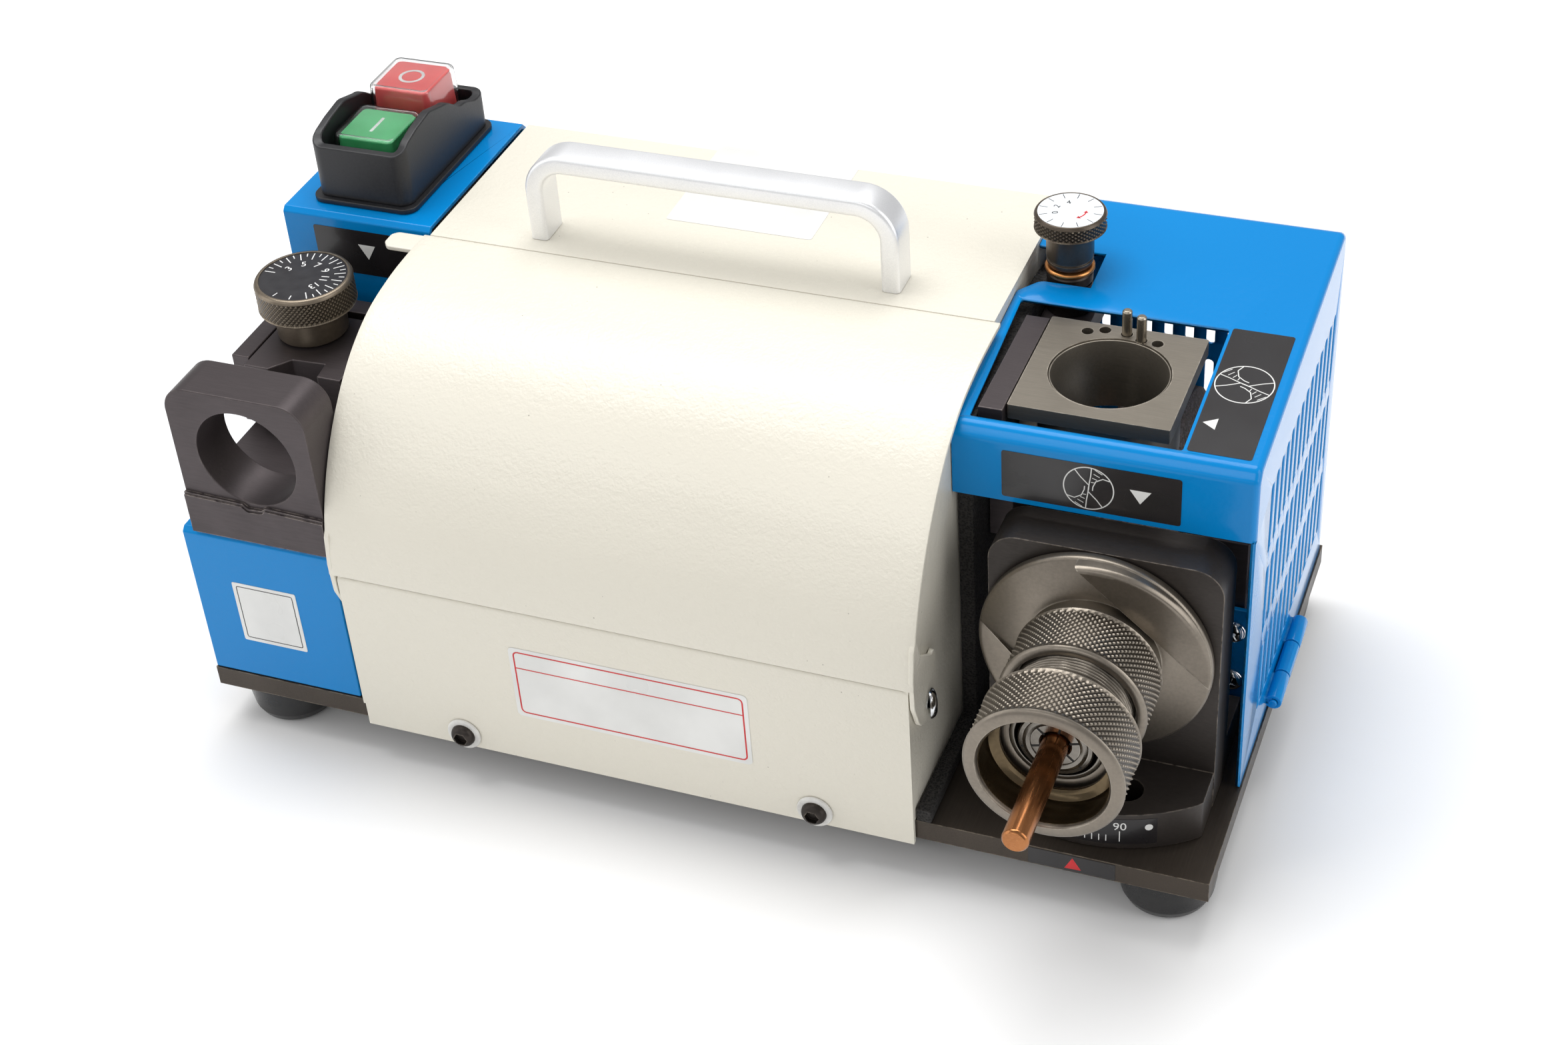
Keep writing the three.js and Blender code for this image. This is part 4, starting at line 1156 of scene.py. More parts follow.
# ---------------------------------------------------------------------------
# Hood: blue powder-coated sheet, folded from one blank. Its right side and back are
# pierced with rows of slots; the top has a square window and a notch for the dial.
hood_left, hood_right = 234.3, 319.5
bend = 2.0
hood_line = [(40, 97.3), (40, 117.2, 3.2), (42.6, 120.5, 3.0), (153.4, 127.3, 3.5), (157, 125.6, 3.0),
             (157, 7.6)]
hood_profile = [Vector(p[:2]) for p in eased(hood_line, 2.6, 5, closed=False)]


def slotted_sheet():
    """A Geometry Nodes tree: flat sheet in a drawn outline, with slanted round-ended slots left open."""
    tree, given = shape_tree("slotted_sheet", ("Slot Width", "Float"), ("Slot Length", "Float"),
                             ("Slant", "Float"))
    mark = node(tree, "GeometryNodeInputNamedAttribute", {"Name": "slot"}, data_type="FLOAT")
    wanted = sums(tree, "GREATER_THAN", mark.outputs["Attribute"], 0.5)
    split = node(tree, "GeometryNodeSeparateGeometry", {"Geometry": given["Geometry"], "Selection": wanted},
                 domain="POINT")
    slot = node(tree, "GeometryNodeCurvePrimitiveQuadrilateral",
                {"Width": given["Slot Width"], "Height": given["Slot Length"]}, mode="RECTANGLE")
    half = sums(tree, "MULTIPLY", given["Slot Width"], 0.46)
    place = node(tree, "ShaderNodeSeparateXYZ", {0: node(tree, "GeometryNodeInputPosition")})
    lean = sums(tree, "MULTIPLY", place.outputs["X"], given["Slant"])
    leaning = node(tree, "GeometryNodeSetPosition", {
        "Geometry": slot.outputs["Curve"], "Offset": node(tree, "ShaderNodeCombineXYZ", {1: lean})})
    rounded = node(tree, "GeometryNodeFilletCurve",
                   {"Curve": leaning, "Count": 4, "Radius": half, "Limit Radius": True}, mode="POLY")
    spread = node(tree, "GeometryNodeInstanceOnPoints",
                  {"Points": split.outputs["Selection"], "Instance": rounded})
    slots = node(tree, "GeometryNodeRealizeInstances", {"Geometry": spread})
    rim = node(tree, "GeometryNodeMeshToCurve", {"Mesh": split.outputs["Inverted"]})
    both = node(tree, "GeometryNodeJoinGeometry")
    tree.links.new(rim.outputs[0], both.inputs[0])
    tree.links.new(slots.outputs[0], both.inputs[0])
    filled = node(tree, "GeometryNodeFillCurve", {"Curve": both}, mode="TRIANGLES")
    return made_real(tree, filled, given)


slotted = slotted_sheet()


def slotted_panel(outlines, centres, width, length, slant):
    """A flat sheet in its own plane (mm drawn as metres), as vertices and faces in millimetres."""
    seed = bpy.data.meshes.new("blank")
    verts, edges = [], []
    for outline in outlines:
        first = len(verts)
        verts += [(p[0] * MM, p[1] * MM, 0) for p in outline]
        edges += [(first + i, first + (i + 1) % len(outline)) for i in range(len(outline))]
    flags = [0.0] * len(verts) + [1.0] * len(centres)
    verts += [(p[0] * MM, p[1] * MM, 0) for p in centres]
    seed.from_pydata(verts, edges, [])
    attribute = seed.attributes.new("slot", "FLOAT", "POINT")
    attribute.data.foreach_set("value", flags)
    mesh = run_tree(slotted, seed, {"Slot Width": width * MM, "Slot Length": length * MM, "Slant": slant,
                                    "Finish": blue})
    found = [(v.co.x / MM, v.co.y / MM) for v in mesh.vertices], [tuple(f.vertices) for f in mesh.polygons]
    bpy.data.meshes.remove(mesh)
    return found


def inset_line(line, distance):
    """The profile moved inward (towards the hood's inside)."""
    out = []
    for i, p in enumerate(line):
        run = (line[min(i + 1, len(line) - 1)] - p).normalized() if i == 0 else (p - line[i - 1]).normalized()
        if 0 < i < len(line) - 1:
            run = (run + (line[i + 1] - p).normalized()).normalized()
        out.append(p + Vector((run.y, -run.x)) * distance)
    return out


slot_rows = ((79.5, 103.2), (50.3, 74.1), (21.1, 44.9))
slot_pitch, slot_width, slot_length, slot_slant = 6.64, 2.8, 23.8, 0.55
hood_foot, hood_back = 7.6, 157
shape = bmesh.new()


def lay_sheet(flat, place):
    """Adds a flat sheet to the hood, each drawn point put in its place."""
    verts, faces = flat
    made = [shape.verts.new(place(u, v)) for u, v in verts]
    for f in faces:
        shape.faces.new([made[i] for i in f])


inner_line = inset_line(hood_profile, bend)
# right side: the slotted panel, then the rolled bend up to the folded strip
side_outline = [(p.x, p.y) for p in inner_line] + [(40, hood_foot), (40, 97.3)]
side_outline[len(inner_line) - 1] = (inner_line[-1].x, hood_foot)
side_centres = [(59.9 + slot_pitch * k, (a + b) / 2) for k in range(14) for a, b in slot_rows]
lay_sheet(slotted_panel([side_outline], side_centres, slot_width, slot_length, slot_slant),
          lambda y, z: at(hood_right, y, z))
bend_rows = []
for k in range(7):
    a = math.pi / 2 * k / 6
    x = hood_right - bend + bend * math.cos(a)
    bend_rows.append([shape.verts.new(at(x, q.x + (p.x - q.x) * math.sin(a), q.y + (p.y - q.y) * math.sin(a)))
                      for p, q in zip(hood_profile, inner_line)])
for a, b in zip(bend_rows, bend_rows[1:]):
    for i in range(len(a) - 1):
        shape.faces.new((a[i], a[i + 1], b[i + 1], b[i]))
# the folded strip: front lip, bend, sloping top, bend and back, up to the flat parts
flat_right = hood_right - bend
back_start = len(hood_profile) - 2
longest = max(range(1, back_start), key=lambda i: (hood_profile[i + 1] - hood_profile[i]).length)


for i, (p, q) in enumerate(zip(hood_profile, hood_profile[1:])):
    if i not in (longest, back_start):
        corners = ((hood_left, p), (flat_right, p), (flat_right, q), (hood_left, q))
        shape.faces.new([shape.verts.new(at(x, end.x, end.y)) for x, end in corners])
p, q = hood_profile[longest], hood_profile[longest + 1]
slope = (q - p).normalized()
start_y, start_z, slope_length = p.x, p.y, (q - p).length


def down_slope(y):
    """How far down the sloping top a point lies."""
    return (y - start_y) / slope.x


notch_right, notch_front, notch_back = 254.6, 109.4, 126.8
notch_corner = eased([(notch_right, notch_front), (239.6, notch_front, 3.0), (hood_left, 103.2, 2.5),
                      (hood_left, 90)], 2, 4, closed=False)[1:-1]
notch = [(hood_left, notch_back), (notch_right, notch_back), (notch_right, notch_front), *notch_corner]
top_outline = [(hood_left, 0), (flat_right, 0), (flat_right, slope_length), (hood_left, slope_length),
               *[(x, down_slope(y)) for x, y in notch]]
window = eased([(238.0, 44.9), (297.5, 44.9), (297.5, 100), (236.6, 100)], 0.8, 4)
lay_sheet(slotted_panel([top_outline, [(x, down_slope(y)) for x, y in window]], [], 2, 2, 0),
          lambda x, t: at(x, start_y + slope.x * t, start_z + slope.y * t))
back_top = hood_profile[back_start].y
back_outline = [(hood_left, hood_foot), (flat_right, hood_foot), (flat_right, back_top),
                (hood_left, back_top)]
back_centres = [(247.4 + slot_pitch * k, (a + b) / 2) for k in range(10) for a, b in slot_rows]
lay_sheet(slotted_panel([back_outline], back_centres, slot_width, slot_length, -slot_slant),
          lambda x, z: at(x, hood_back, z))
bmesh.ops.remove_doubles(shape, verts=shape.verts, dist=6e-6)
bmesh.ops.recalc_face_normals(shape, faces=shape.faces)
shape.faces.ensure_lookup_table()
reference = max(shape.faces, key=lambda f: f.calc_center_median().x)
reference.normal_update()
if reference.normal.x < 0:
    bmesh.ops.reverse_faces(shape, faces=shape.faces)
mesh = bpy.data.meshes.new("hood_skin")
shape.to_mesh(mesh)
shape.free()
hood_sheet = settled(mesh, ("SOLIDIFY", dict(thickness=1.3 * MM, offset=-1.0, use_even_offset=True,
                                             use_quality_normals=True)), flat_light)
knuckles = []
for a, b in ((72, 84), (99, 111)):
    tube = turned(eased([(1.3, a), (2.5, a), (2.5, b), (1.3, b)], 0.25, 2), (322, 0, 13.5), "Y", 48)
    wrap = broken_edges(outline_prism([(318.9, 12.2), (321.6, 12.4), (321.6, 14.6), (318.9, 14.8)], a, b,
                                      "Y"), 0.3, 2, 40)
    knuckles += [coated(tube, blue), coated(wrap, blue)]
join_piece("hood_sheet", gathered(coated(hood_sheet, blue), *knuckles), None, "hood", "blue_powder_coat",
           "hood")

# Hinge: a steel leaf screwed to a blackened bracket inside, and a peened pin through
# the rolled knuckles. Leaf and pin are painted over with the hood.
from_cad("hinge_leaf", "_plate", 0.25, blue, "blue_powder_coat")
pin = turned_bar([(0, 71.2), (1.15, 71.2), (1.25, 71.9), (1.0, 72.0), (1.0, 111.1), (1.25, 111.2),
                  (1.15, 111.8), (0, 111.8)], 0.15, 2, (322, 0, 13.5), "Y", 40)
join_piece("hinge_pin_rod", pin, blue, "frame", "machined_steel", "hinge_pin")
from_cad("hinge_bracket", "_plate", 0.4, black_block, "black_oxide_steel")
for word, z, twist in (("lower", 19.5, 0.3), ("upper", 38, 1.1)):
    head = grown(pan_head, [at(309, 72.2, z)], head_size(3.8, 2.0, 1.3, bright_chrome),
                 [(math.pi / 2, twist, 0)])
    shank = turned([(0, 72.2), (1.9, 72.2), (1.9, 74.0), (0, 74.0)], (309, 0, z), "Y", 32, close=False)
    join_piece("hinge_screw_%s_head" % word, gathered(head, coated(shank, bright_chrome)), None, "frame",
               "bright_chrome", "hinge_screw_" + word)

# ---------------------------------------------------------------------------
# Thinning station: a ground square plate with a bored sleeve below it slides on a
# black guide plate. Two dowel pins stand in it; spare dowel holes are left open.
ground_steel = worked_metal("ground_steel", (0.23, 0.205, 0.17), (0.55, 0.5, 0.42), 0.38, 0.8,
                            (110.0, 2600.0, 1500.0), 0.00004, 1.0, 0.25, 0.35)
plate = outline_prism(eased([(246.9, 50.9), (292.6, 50.9), (292.6, 96.2), (246.9, 96.2)], 0.5, 2), 117.4,
                      122, "Z", [circle(270, 73, 17.2, 96)] + [circle(x, y, 1.7, 20) for x,
                                                               y in ((258.6, 91.5), (263.3, 93.3),
                                                                     (279.2, 90.4), (269.7, 92.9),
                                                                     (274.4, 90.9))])
plate = broken_edges(plate, 0.35, 2, 30)
sleeve = turned(eased([(16.5, 99), (20, 99), (20, 117.6), (17.3, 117.6), (17.3, 120.9), (16.9, 121.7),
                       (16.5, 121.7)], 0.3, 3), (270, 73, 0), "Z", 96)
carrier = broken_edges(outline_prism([(246.9, 62), (252.5, 62), (252.5, 88), (246.9, 88)], 84, 117.6), 0.3)
join_piece("thinning_block_ground", gathered(plate, sleeve, carrier), ground_steel, "thinning_slide",
           "machined_steel", "thinning_block")
pin_steel = worked_metal("hardened_pin", (0.36, 0.32, 0.26), (0.7, 0.66, 0.58), 0.26, 0.9,
                         (900.0, 900.0, 300.0), 0.00001, 0.5, 0.2, 0.25)
for word, x, y in (("left", 269.7, 92.9), ("right", 274.4, 90.9)):
    rod = turned_bar([(0, 118.1), (1.45, 118.1), (1.45, 129.7, 0.6), (1.0, 130.2, 0.4), (0, 130.2)], 0.4, 4,
                     (x, y, 0), "Z", 40)
    join_piece("dowel_pin_%s_rod" % word, rod, pin_steel, "thinning_slide", "machined_steel",
               "dowel_pin_" + word)
from_cad("guide_plate", "_milled", 0.35, black_block, "black_oxide_steel")

# Foam strip: open-cell black foam glued between the casing and the guide plate, to
# keep grinding dust out of the motor.
foam, tree, shader = blank_material("open_cell_foam")
coordinate = object_place(tree)
cells = node(tree, "ShaderNodeTexVoronoi", {"Vector": coordinate, "Scale": 1300.0})
ramped(tree, shader, "Base Color", cells.outputs["Distance"],
       [(0.1, (0.004, 0.004, 0.004)), (0.7, (0.035, 0.032, 0.03))])
shader.inputs["Roughness"].default_value = 0.95
bumped(tree, shader, cells.outputs["Distance"], 1.0, 0.0004)
from_cad("foam_strip", "_cut", 0.5, foam, "black_foam")

# Thinning dial: a blackened knob with a coarse knurl under a printed white face, on a
# plain sleeve with a collar, over a copper friction ring and a blackened socket.
dark_knurl = knurled_metal("dark_knurl_steel", (0.085, 0.066, 0.050), (0.016, 0.013, 0.010), 0.34, 0.7,
                           (0.32, 0.27, 0.2))
thin_x, thin_y = 246, 118
knob = band_piece([(10.45, 143.9), (10.1, 144.4), (9.8, 144.5), (9.65, 144.45), (9.62, 144.25),
                   (0, 144.25)], (139.3, 143.5, 10.6), (thin_x, thin_y, 0), "Z", 38, 3.5, 0.5, dark_knurl)
under = turned_bar([(0, 112.4), (3, 112.4), (3, 127.2), (6.5, 127.2), (6.5, 128.2), (6.9, 128.3),
                    (6.9, 129.0), (6.5, 129.1), (6.5, 129.7), (7.0, 129.8), (7.0, 138.7), (7.3, 139.0),
                    (10.0, 139.0), (10.55, 139.35), (10.2, 139.7), (0, 139.7)], 0.12, 2,
                   (thin_x, thin_y, 0), "Z", 96)
join_piece("thinning_dial_knob", gathered(knob, coated(under, dark_knurl)), None, "thinning_knob",
           "black_oxide_steel", "thinning_dial")
copper = worked_metal("copper_ring", (0.62, 0.27, 0.09), (0.85, 0.5, 0.25), 0.28, 0.95,
                      (900.0, 900.0, 900.0), 0.00001, 0.4, 0.2, 0.3)
ring = turned(eased([(3.4, 125.1), (7.4, 125.1), (7.4, 126.7), (3.4, 126.7)], 0.7, 5), (thin_x, thin_y, 0),
              "Z", 96)
join_piece("dial_ring_turned", ring, copper, "frame", "copper_ring", "dial_ring")
socket_body = turned(eased([(3.4, 112), (6.8, 112), (6.8, 121.0), (6.4, 121.3), (6.8, 121.6), (6.8, 124.1),
                            (6.2, 124.8), (3.4, 124.8)], 0.15, 2), (thin_x, thin_y, 0), "Z", 96)
join_piece("dial_socket_turned", socket_body, screw_black, "frame", "black_oxide_steel", "dial_socket")
face_disc = [patch(circle(0, 0, 9.56, 80))]
marks, red_marks = [], []
for k in range(12):
    marks += dial_ticks([math.radians(15 + 30 * k)], 6.9, 9.3, 0.2)
for text, degrees in (("0", 195), ("2", 150), ("4", 98)):
    a = math.radians(degrees)
    marks.append(figure(text, 2.7, *radial(a, 4.5), a - math.pi / 2))
sweep = circle(0, 0, 4.6, 14, math.radians(-58), math.radians(-12), whole=False)
red_marks.append(ribbon(sweep, 0.42))
for a, way in ((math.radians(-58), -1), (math.radians(-12), 1)):
    tip = Vector(radial(a + way * 0.17, 4.6))
    root = Vector(radial(a - way * 0.06, 4.6))
    wide = Vector(radial(a, 1)) * 0.75
    red_marks.append(patch([tip, root + wide, root - wide] if way > 0 else [tip, root - wide, root + wide]))
thin_spin = math.radians(14)
right, up = (math.cos(thin_spin), math.sin(thin_spin), 0), (-math.sin(thin_spin), math.cos(thin_spin), 0)
join_piece("thinning_dial_face", printed(face_disc, (thin_x, thin_y, 144.26), right, up, 0.09,
                                         white_lacquer), None, "thinning_knob", None)
join_piece("thinning_dial_marks", printed(marks, (thin_x, thin_y, 144.355), right, up, 0.03, black_ink),
           None, "thinning_knob", None)
join_piece("thinning_dial_arrow", printed(red_marks, (thin_x, thin_y, 144.355), right, up, 0.03, red_ink),
           None, "thinning_knob", None)

# ---------------------------------------------------------------------------
# Chuck seat: a thick milled bracket, bored for the chuck, on a round foot with an arc
# slot. It swivels on a pin and is clamped by a socket screw; the foot carries a scale.
pivot_x, pivot_y = 281, 53
foot_radius, foot_half = 48.5, 33.2
foot_span = math.asin(foot_half / foot_radius)
foot_line = circle(pivot_x, pivot_y, foot_radius, 49, -math.pi / 2 - foot_span, -math.pi / 2 + foot_span,
                   whole=False)
foot_line += [(pivot_x + foot_half, 64), (pivot_x - foot_half, 64)]
foot_line = [(min(x, pivot_x + 32.7), y) for x, y in foot_line]
slot_out = circle(pivot_x, pivot_y, 42.8, 20, math.radians(-106.5), math.radians(-73.5), whole=False)
slot_in = circle(pivot_x, pivot_y, 33.2, 20, math.radians(-73.5), math.radians(-106.5), whole=False)


def slot_end(degrees, first):
    a = math.radians(degrees)
    return circle(pivot_x + 38 * math.cos(a), pivot_y + 38 * math.sin(a), 4.8, 12, math.radians(first),
                  math.radians(first + 180), whole=False)[1:-1]


arc_slot = slot_out + slot_end(-73.5, -73.5) + slot_in + slot_end(-106.5, 73.5)
seat_foot = outline_prism(foot_line, 7.3, 20.5, "Z", [arc_slot, circle(pivot_x, pivot_y, 5.4, 32)])
seat_foot = broken_edges(seat_foot, 0.5, 2, 28)
seat_plate = outline_prism(eased([(247.4, 7.5), (313.9, 7.5), (313.9, 93, 8.5), (247.4, 93, 8.5)], 0, 12),
                           30, 45, "Y", [circle(279, 60, 25.2, 96)])
seat_plate = broken_edges(seat_plate, 0.6, 2, 25)
seat_steel = worked_metal("blackened_seat", (0.046, 0.039, 0.035), (0.34, 0.29, 0.24), 0.38, 0.55,
                          (500.0, 1500.0, 1900.0), 0.00005, 1.2, 0.25, 0.4)
join_piece("chuck_seat_milled", gathered(seat_plate, seat_foot), seat_steel, "seat", "black_oxide_steel",
           "chuck_seat")
pin = turned_bar([(0, 0.4), (4.9, 0.4), (4.9, 20.8), (7.5, 20.8), (7.5, 23.0), (6.9, 23.6), (0, 23.6)], 0.3,
                 3, (281, 53, 0), "Z", 64)
join_piece("seat_pivot_pin_turned", pin, pin_steel, "frame", "machined_steel", "seat_pivot_pin")
lock = turned(eased([(0, 0.4), (3.2, 0.4), (3.2, 20.8), (7, 20.8), (7, 22.2), (5.4, 22.2), (5.4, 26.5),
                     (4.9, 27), (2.6, 27), (2.6, 24.2), (0, 24.0)], 0.2, 2, closed=False), (281, 15, 0),
              "Z", 64, close=False)
join_piece("seat_lock_screw_head", lock, screw_black, "frame", "black_oxide_steel", "seat_lock_screw")

# ---------------------------------------------------------------------------
# Chuck: one turned and milled steel body, nickel grey. From the front: fine thread,
# knurled barrel with a hollow face, a wide flange with two sloping cams that set the
# point angle, and a plain spigot that turns in the seat.
chuck_x, chuck_z = 279, 60
nickel = knurled_metal("nickel_grey_steel", (0.215, 0.188, 0.156), (0.035, 0.028, 0.021), 0.34, 0.9,
                       (0.62, 0.57, 0.49))
barrel = band_piece([(19.45, 23.0), (19.4, 25.7), (19.9, 25.9), (32.6, 25.9), (33.4, 26.5), (33.5, 27.2),
                     (33.5, 28.8), (33.0, 29.5), (24.7, 29.6), (24.7, 46.4), (24.1, 47.0), (12.0, 47.0),
                     (12.0, 30.0), (13.2, 24.0), (13.2, -11.3), (13.5, -11.5), (14.6, -11.5), (14.6, 8.6),
                     (18.2, 8.6), (18.2, 3.3), (18.6, 2.8), (20.0, 2.8), (20.7, 3.4)], (4.0, 20.2, 21.0),
                    (chuck_x, 0, chuck_z), "Y", 66, 8.5, 0.62, nickel)
thread = band_piece([(16.2, 8.55), (14.5, 8.55), (14.5, -11.4), (15.7, -11.4)], (-10.8, 7.9, 16.95),
                    (chuck_x, 0, chuck_z), "Y", 1, 17, 0.62, nickel, crossed=False, ease=0.02)
cams = []
for side in (0, 1):
    reach, chord = 33.2, 19.8
    half = math.acos(chord / reach)
    rim = circle(0, 0, reach, 60, -half, half, whole=False)
    shape = bmesh.new()
    low = [shape.verts.new((x, y, 0.0)) for x, y in rim]
    rows = [low]
    for inset, drop in ((0, 1.7), (0.18, 1.0), (0.6, 0.4), (1.1, 0.1), (1.7, 0)):
        rows.append([])
        for x, y in rim:
            k = 1 - inset / reach
            height = 0.4 + 3.9 * min(1.0, max(0.0, (y + 25.0) / 50.0))
            rows[-1].append(shape.verts.new((max(chord, x * k), y * k,
                                             max(0.05, height - drop * min(1.0, height / 2)))))
    walled(shape, rows)
    shape.faces.new(low)
    top = rows[-1]
    bmesh.ops.triangle_fill(shape, edges=[shape.edges.get((top[i - 1], top[i])) for i in range(len(top))],
                            use_beauty=True)
    mesh = faced_out(shape, "cam")
    mesh = settled(mesh, bevel(0.22 / MM, 2, 48),
                   flat_light)
    spin = Matrix.Rotation(math.pi / 4 + math.pi * side, 4, "Z")
    stand = Matrix(((1, 0, 0, 0), (0, 0, -1, 0), (0, 1, 0, 0), (0, 0, 0, 1)))
    mesh.transform(stand @ spin)
    mesh.transform(Matrix.Translation(at(chuck_x, 26.2, chuck_z)) @ Matrix.Scale(MM, 4))
    cams.append(coated(mesh, nickel))
join_piece("chuck_body_turned", gathered(barrel, thread, *cams), None, "chuck", "nickel_steel", "chuck_body")

# Clamp nut: a knurled sleeve with a flat ground ring at its mouth; inside it are turned
# steps with oil standing in them. Screwing it in closes the collet on the drill.
nut = band_piece([(22.2, -6.9), (21.7, -6.3), (17.9, -6.2), (17.4, -6.5), (17.3, -11.8), (17.5, -12.3),
                  (17.4, -14.2), (18.2, -15.0), (18.2, -24.6), (18.7, -25.2), (21.2, -25.2), (22.1, -24.5)],
                 (-24.0, -7.4, 22.4), (chuck_x, 0, chuck_z), "Y", 70, 8.5, 0.66, nickel)
oiled = worked_metal("oiled_steel", (0.12, 0.088, 0.050), (0.32, 0.26, 0.18), 0.18, 0.9,
                     (900.0, 700.0, 900.0), 0.00003, 0.4, 0.3, 0.6)
liner = turned(eased([(18.19, -15.2), (18.19, -23.9), (17.95, -24.1), (17.95, -15.0), (16.4, -14.0),
                      (15.2, -13.6), (15.2, -12.7), (17.3, -12.7)], 0.15, 2), (chuck_x, 0, chuck_z), "Y",
               120)
join_piece("clamp_nut_knurled", gathered(nut, coated(liner, oiled)), None, "nut", "nickel_steel", "clamp_nut")

# Collet: hardened spring steel, ground bright, its nose split by six saw cuts; the cuts are not opened, their
# dark slits are painted shade on thin black prisms.
bright_steel = worked_metal("ground_collet_steel", (0.19, 0.175, 0.155), (0.75, 0.71, 0.64), 0.20, 0.95,
                            (900.0, 700.0, 900.0), 0.00002, 0.5, 0.2, 0.45)
collet_shell = turned(eased([(4.1, -12.0), (4.6, -12.4), (10.2, -12.4), (10.6, -12.0), (10.6, -8.6),
                             (9.6, -8.3), (9.6, -6.8), (12.6, -4.0), (10.8, 20), (4.1, 20)], 0.25, 3),
                      (chuck_x, 0, chuck_z), "Y", 96)
collet_nose = turned(eased([(11.6, -11.6), (13.0, -11.6), (13.0, -9.4), (11.6, -9.4)], 0.3, 3),
                     (chuck_x, 0, chuck_z), "Y", 96)
collet_ring = turned(eased([(6.9, -12.75), (8.0, -13.1), (9.1, -12.75), (9.1, -12.3), (6.9, -12.3)], 0.2,
                           3), (chuck_x, 0, chuck_z), "Y", 96)


def spoke(x, y, angle, points):
    """An outline drawn along a spoke, as (distance out, distance aside) points, and turned about x, y."""
    c, s = math.cos(angle), math.sin(angle)
    return [(x + c * r - s * w, y + s * r + c * w) for r, w in points]


# painted shade: a near-black ink laid on thin prisms where the saw cuts would show as dark slits
painted_cut_shade = ink("saw_cut_painted_shade", (0.01, 0.009, 0.008), 0.6)
saw_cut_shades = []
for k in range(6):
    blade = spoke(chuck_x, chuck_z, math.pi / 3 * k + 0.3,
                  ((4.15, -0.35), (10.0, -0.35), (10.0, 0.35), (4.15, 0.35)))
    saw_cut_shades.append(coated(outline_prism(blade, -12.47, -12.2, "Y"), painted_cut_shade))
ground_rings = [coated(m, bright_steel) for m in (collet_shell, collet_nose, collet_ring)]
join_piece("collet_ground", gathered(*ground_rings, *saw_cut_shades), None, "collet", "nickel_steel", "collet")

# Drill bit: high-speed steel with a bronze oxide skin. A plain round shank with a
# chamfered end stands out of the nut; two flutes wind to the point inside.


def drill_rod(radius, back, start, front, turns):
    """A round shank that runs into two winding flutes and a cone point."""
    shape = bmesh.new()
    stations = [(0.0, back), (radius * 0.84, back), (radius * 0.97, back + 0.5), (radius, back + 0.9)]
    stations += [(radius, back + 1 + (start - back - 1) * i / 6) for i in range(7)]
    count = 90
    rows = []
    for r, y in stations:
        rows.append((r, y, 0.0))
    for i in range(1, count + 1):
        y = start + (front - start) * i / count
        rows.append((radius, y, min(1.0, i / 12)))
    rings = []
    for r, y, cut in rows:
        ring = []
        tip = max(0.0, (y - (front - 2.1)) / 2.1)
        for k in range(72 if r > 0 else 1):
            a = 2 * math.pi * k / 72
            flute_angle = 2 * (a - turns * 2 * math.pi * (y - start) / (front - start))
            hollow = max(0.0, math.cos(flute_angle)) ** 1.3 * 0.62 * cut if r > 0 else 0
            rr = r * (1 - hollow) * (1 - tip * 0.93)
            ring.append(shape.verts.new(at(chuck_x + rr * math.cos(a), y, chuck_z + rr * math.sin(a))))
        rings.append(ring)
    for a, b in zip(rings, rings[1:]):
        for k in range(72):
            j = (k + 1) % 72
            corners = list(dict.fromkeys([a[k % len(a)], a[j % len(a)], b[j % len(b)], b[k % len(b)]]))
            if len(corners) > 2:
                shape.faces.new(corners)
    shape.faces.new(rings[-1])
    mesh = faced_out(shape, "drill")
    return smoothed(mesh, 40)


bronze, tree, shader = blank_material("bronze_oxide")
surface = node(tree, "ShaderNodeGroup", node_tree=tool_marks)
for label, value in zip(("Along X", "Along Y", "Along Z"), (1400.0, 120.0, 1400.0)):
    surface.inputs[label].default_value = value
skin = ramp(tree, surface.outputs["Cloud"], [(0.28, (0.16, 0.055, 0.018)), (0.5, (0.36, 0.14, 0.05)),
                                             (0.72, (0.58, 0.28, 0.125))])
tree.links.new(blend_colour(tree, surface.outputs["Height"], skin, (0.46, 0.20, 0.08)),
               shader.inputs["Base Color"])
shader.inputs["Metallic"].default_value = 0.95
ramped(tree, shader, "Roughness", surface.outputs["Height"], [(0.3, 0.16), (0.7, 0.30)])
bumped(tree, shader, surface.outputs["Height"], 0.4, 0.00002)
join_piece("drill_bit_rod", drill_rod(3.75, -50.6, 8.0, 66.5, 2.6), bronze, "drill", "drill_steel",
           "drill_bit")

# ---------------------------------------------------------------------------
# Labels: printed film stuck on the hood, the seat's foot, the base's front edge and the
# casing. The line drawings show a drill's end; arrows point at the stations.
film_black = ink("film_black", (0.010, 0.009, 0.010), 0.24, (0.018, 0.016, 0.017), 0.12, 60.0, 0.00001)
film_white = ink("film_white", (0.80, 0.80, 0.78), 0.30, (0.70, 0.70, 0.68), 0.3, 40.0, 0.00001)
arrow_red = ink("arrow_red", (0.62, 0.015, 0.02), 0.30)


def sheet_outline(x0, y0, x1, y1, corner=0.8):
    """A label's outline with small rounded corners."""
    return [tuple(p[:2]) for p in eased([(x0, y0), (x1, y0), (x1, y1), (x0, y1)], corner, 4)]


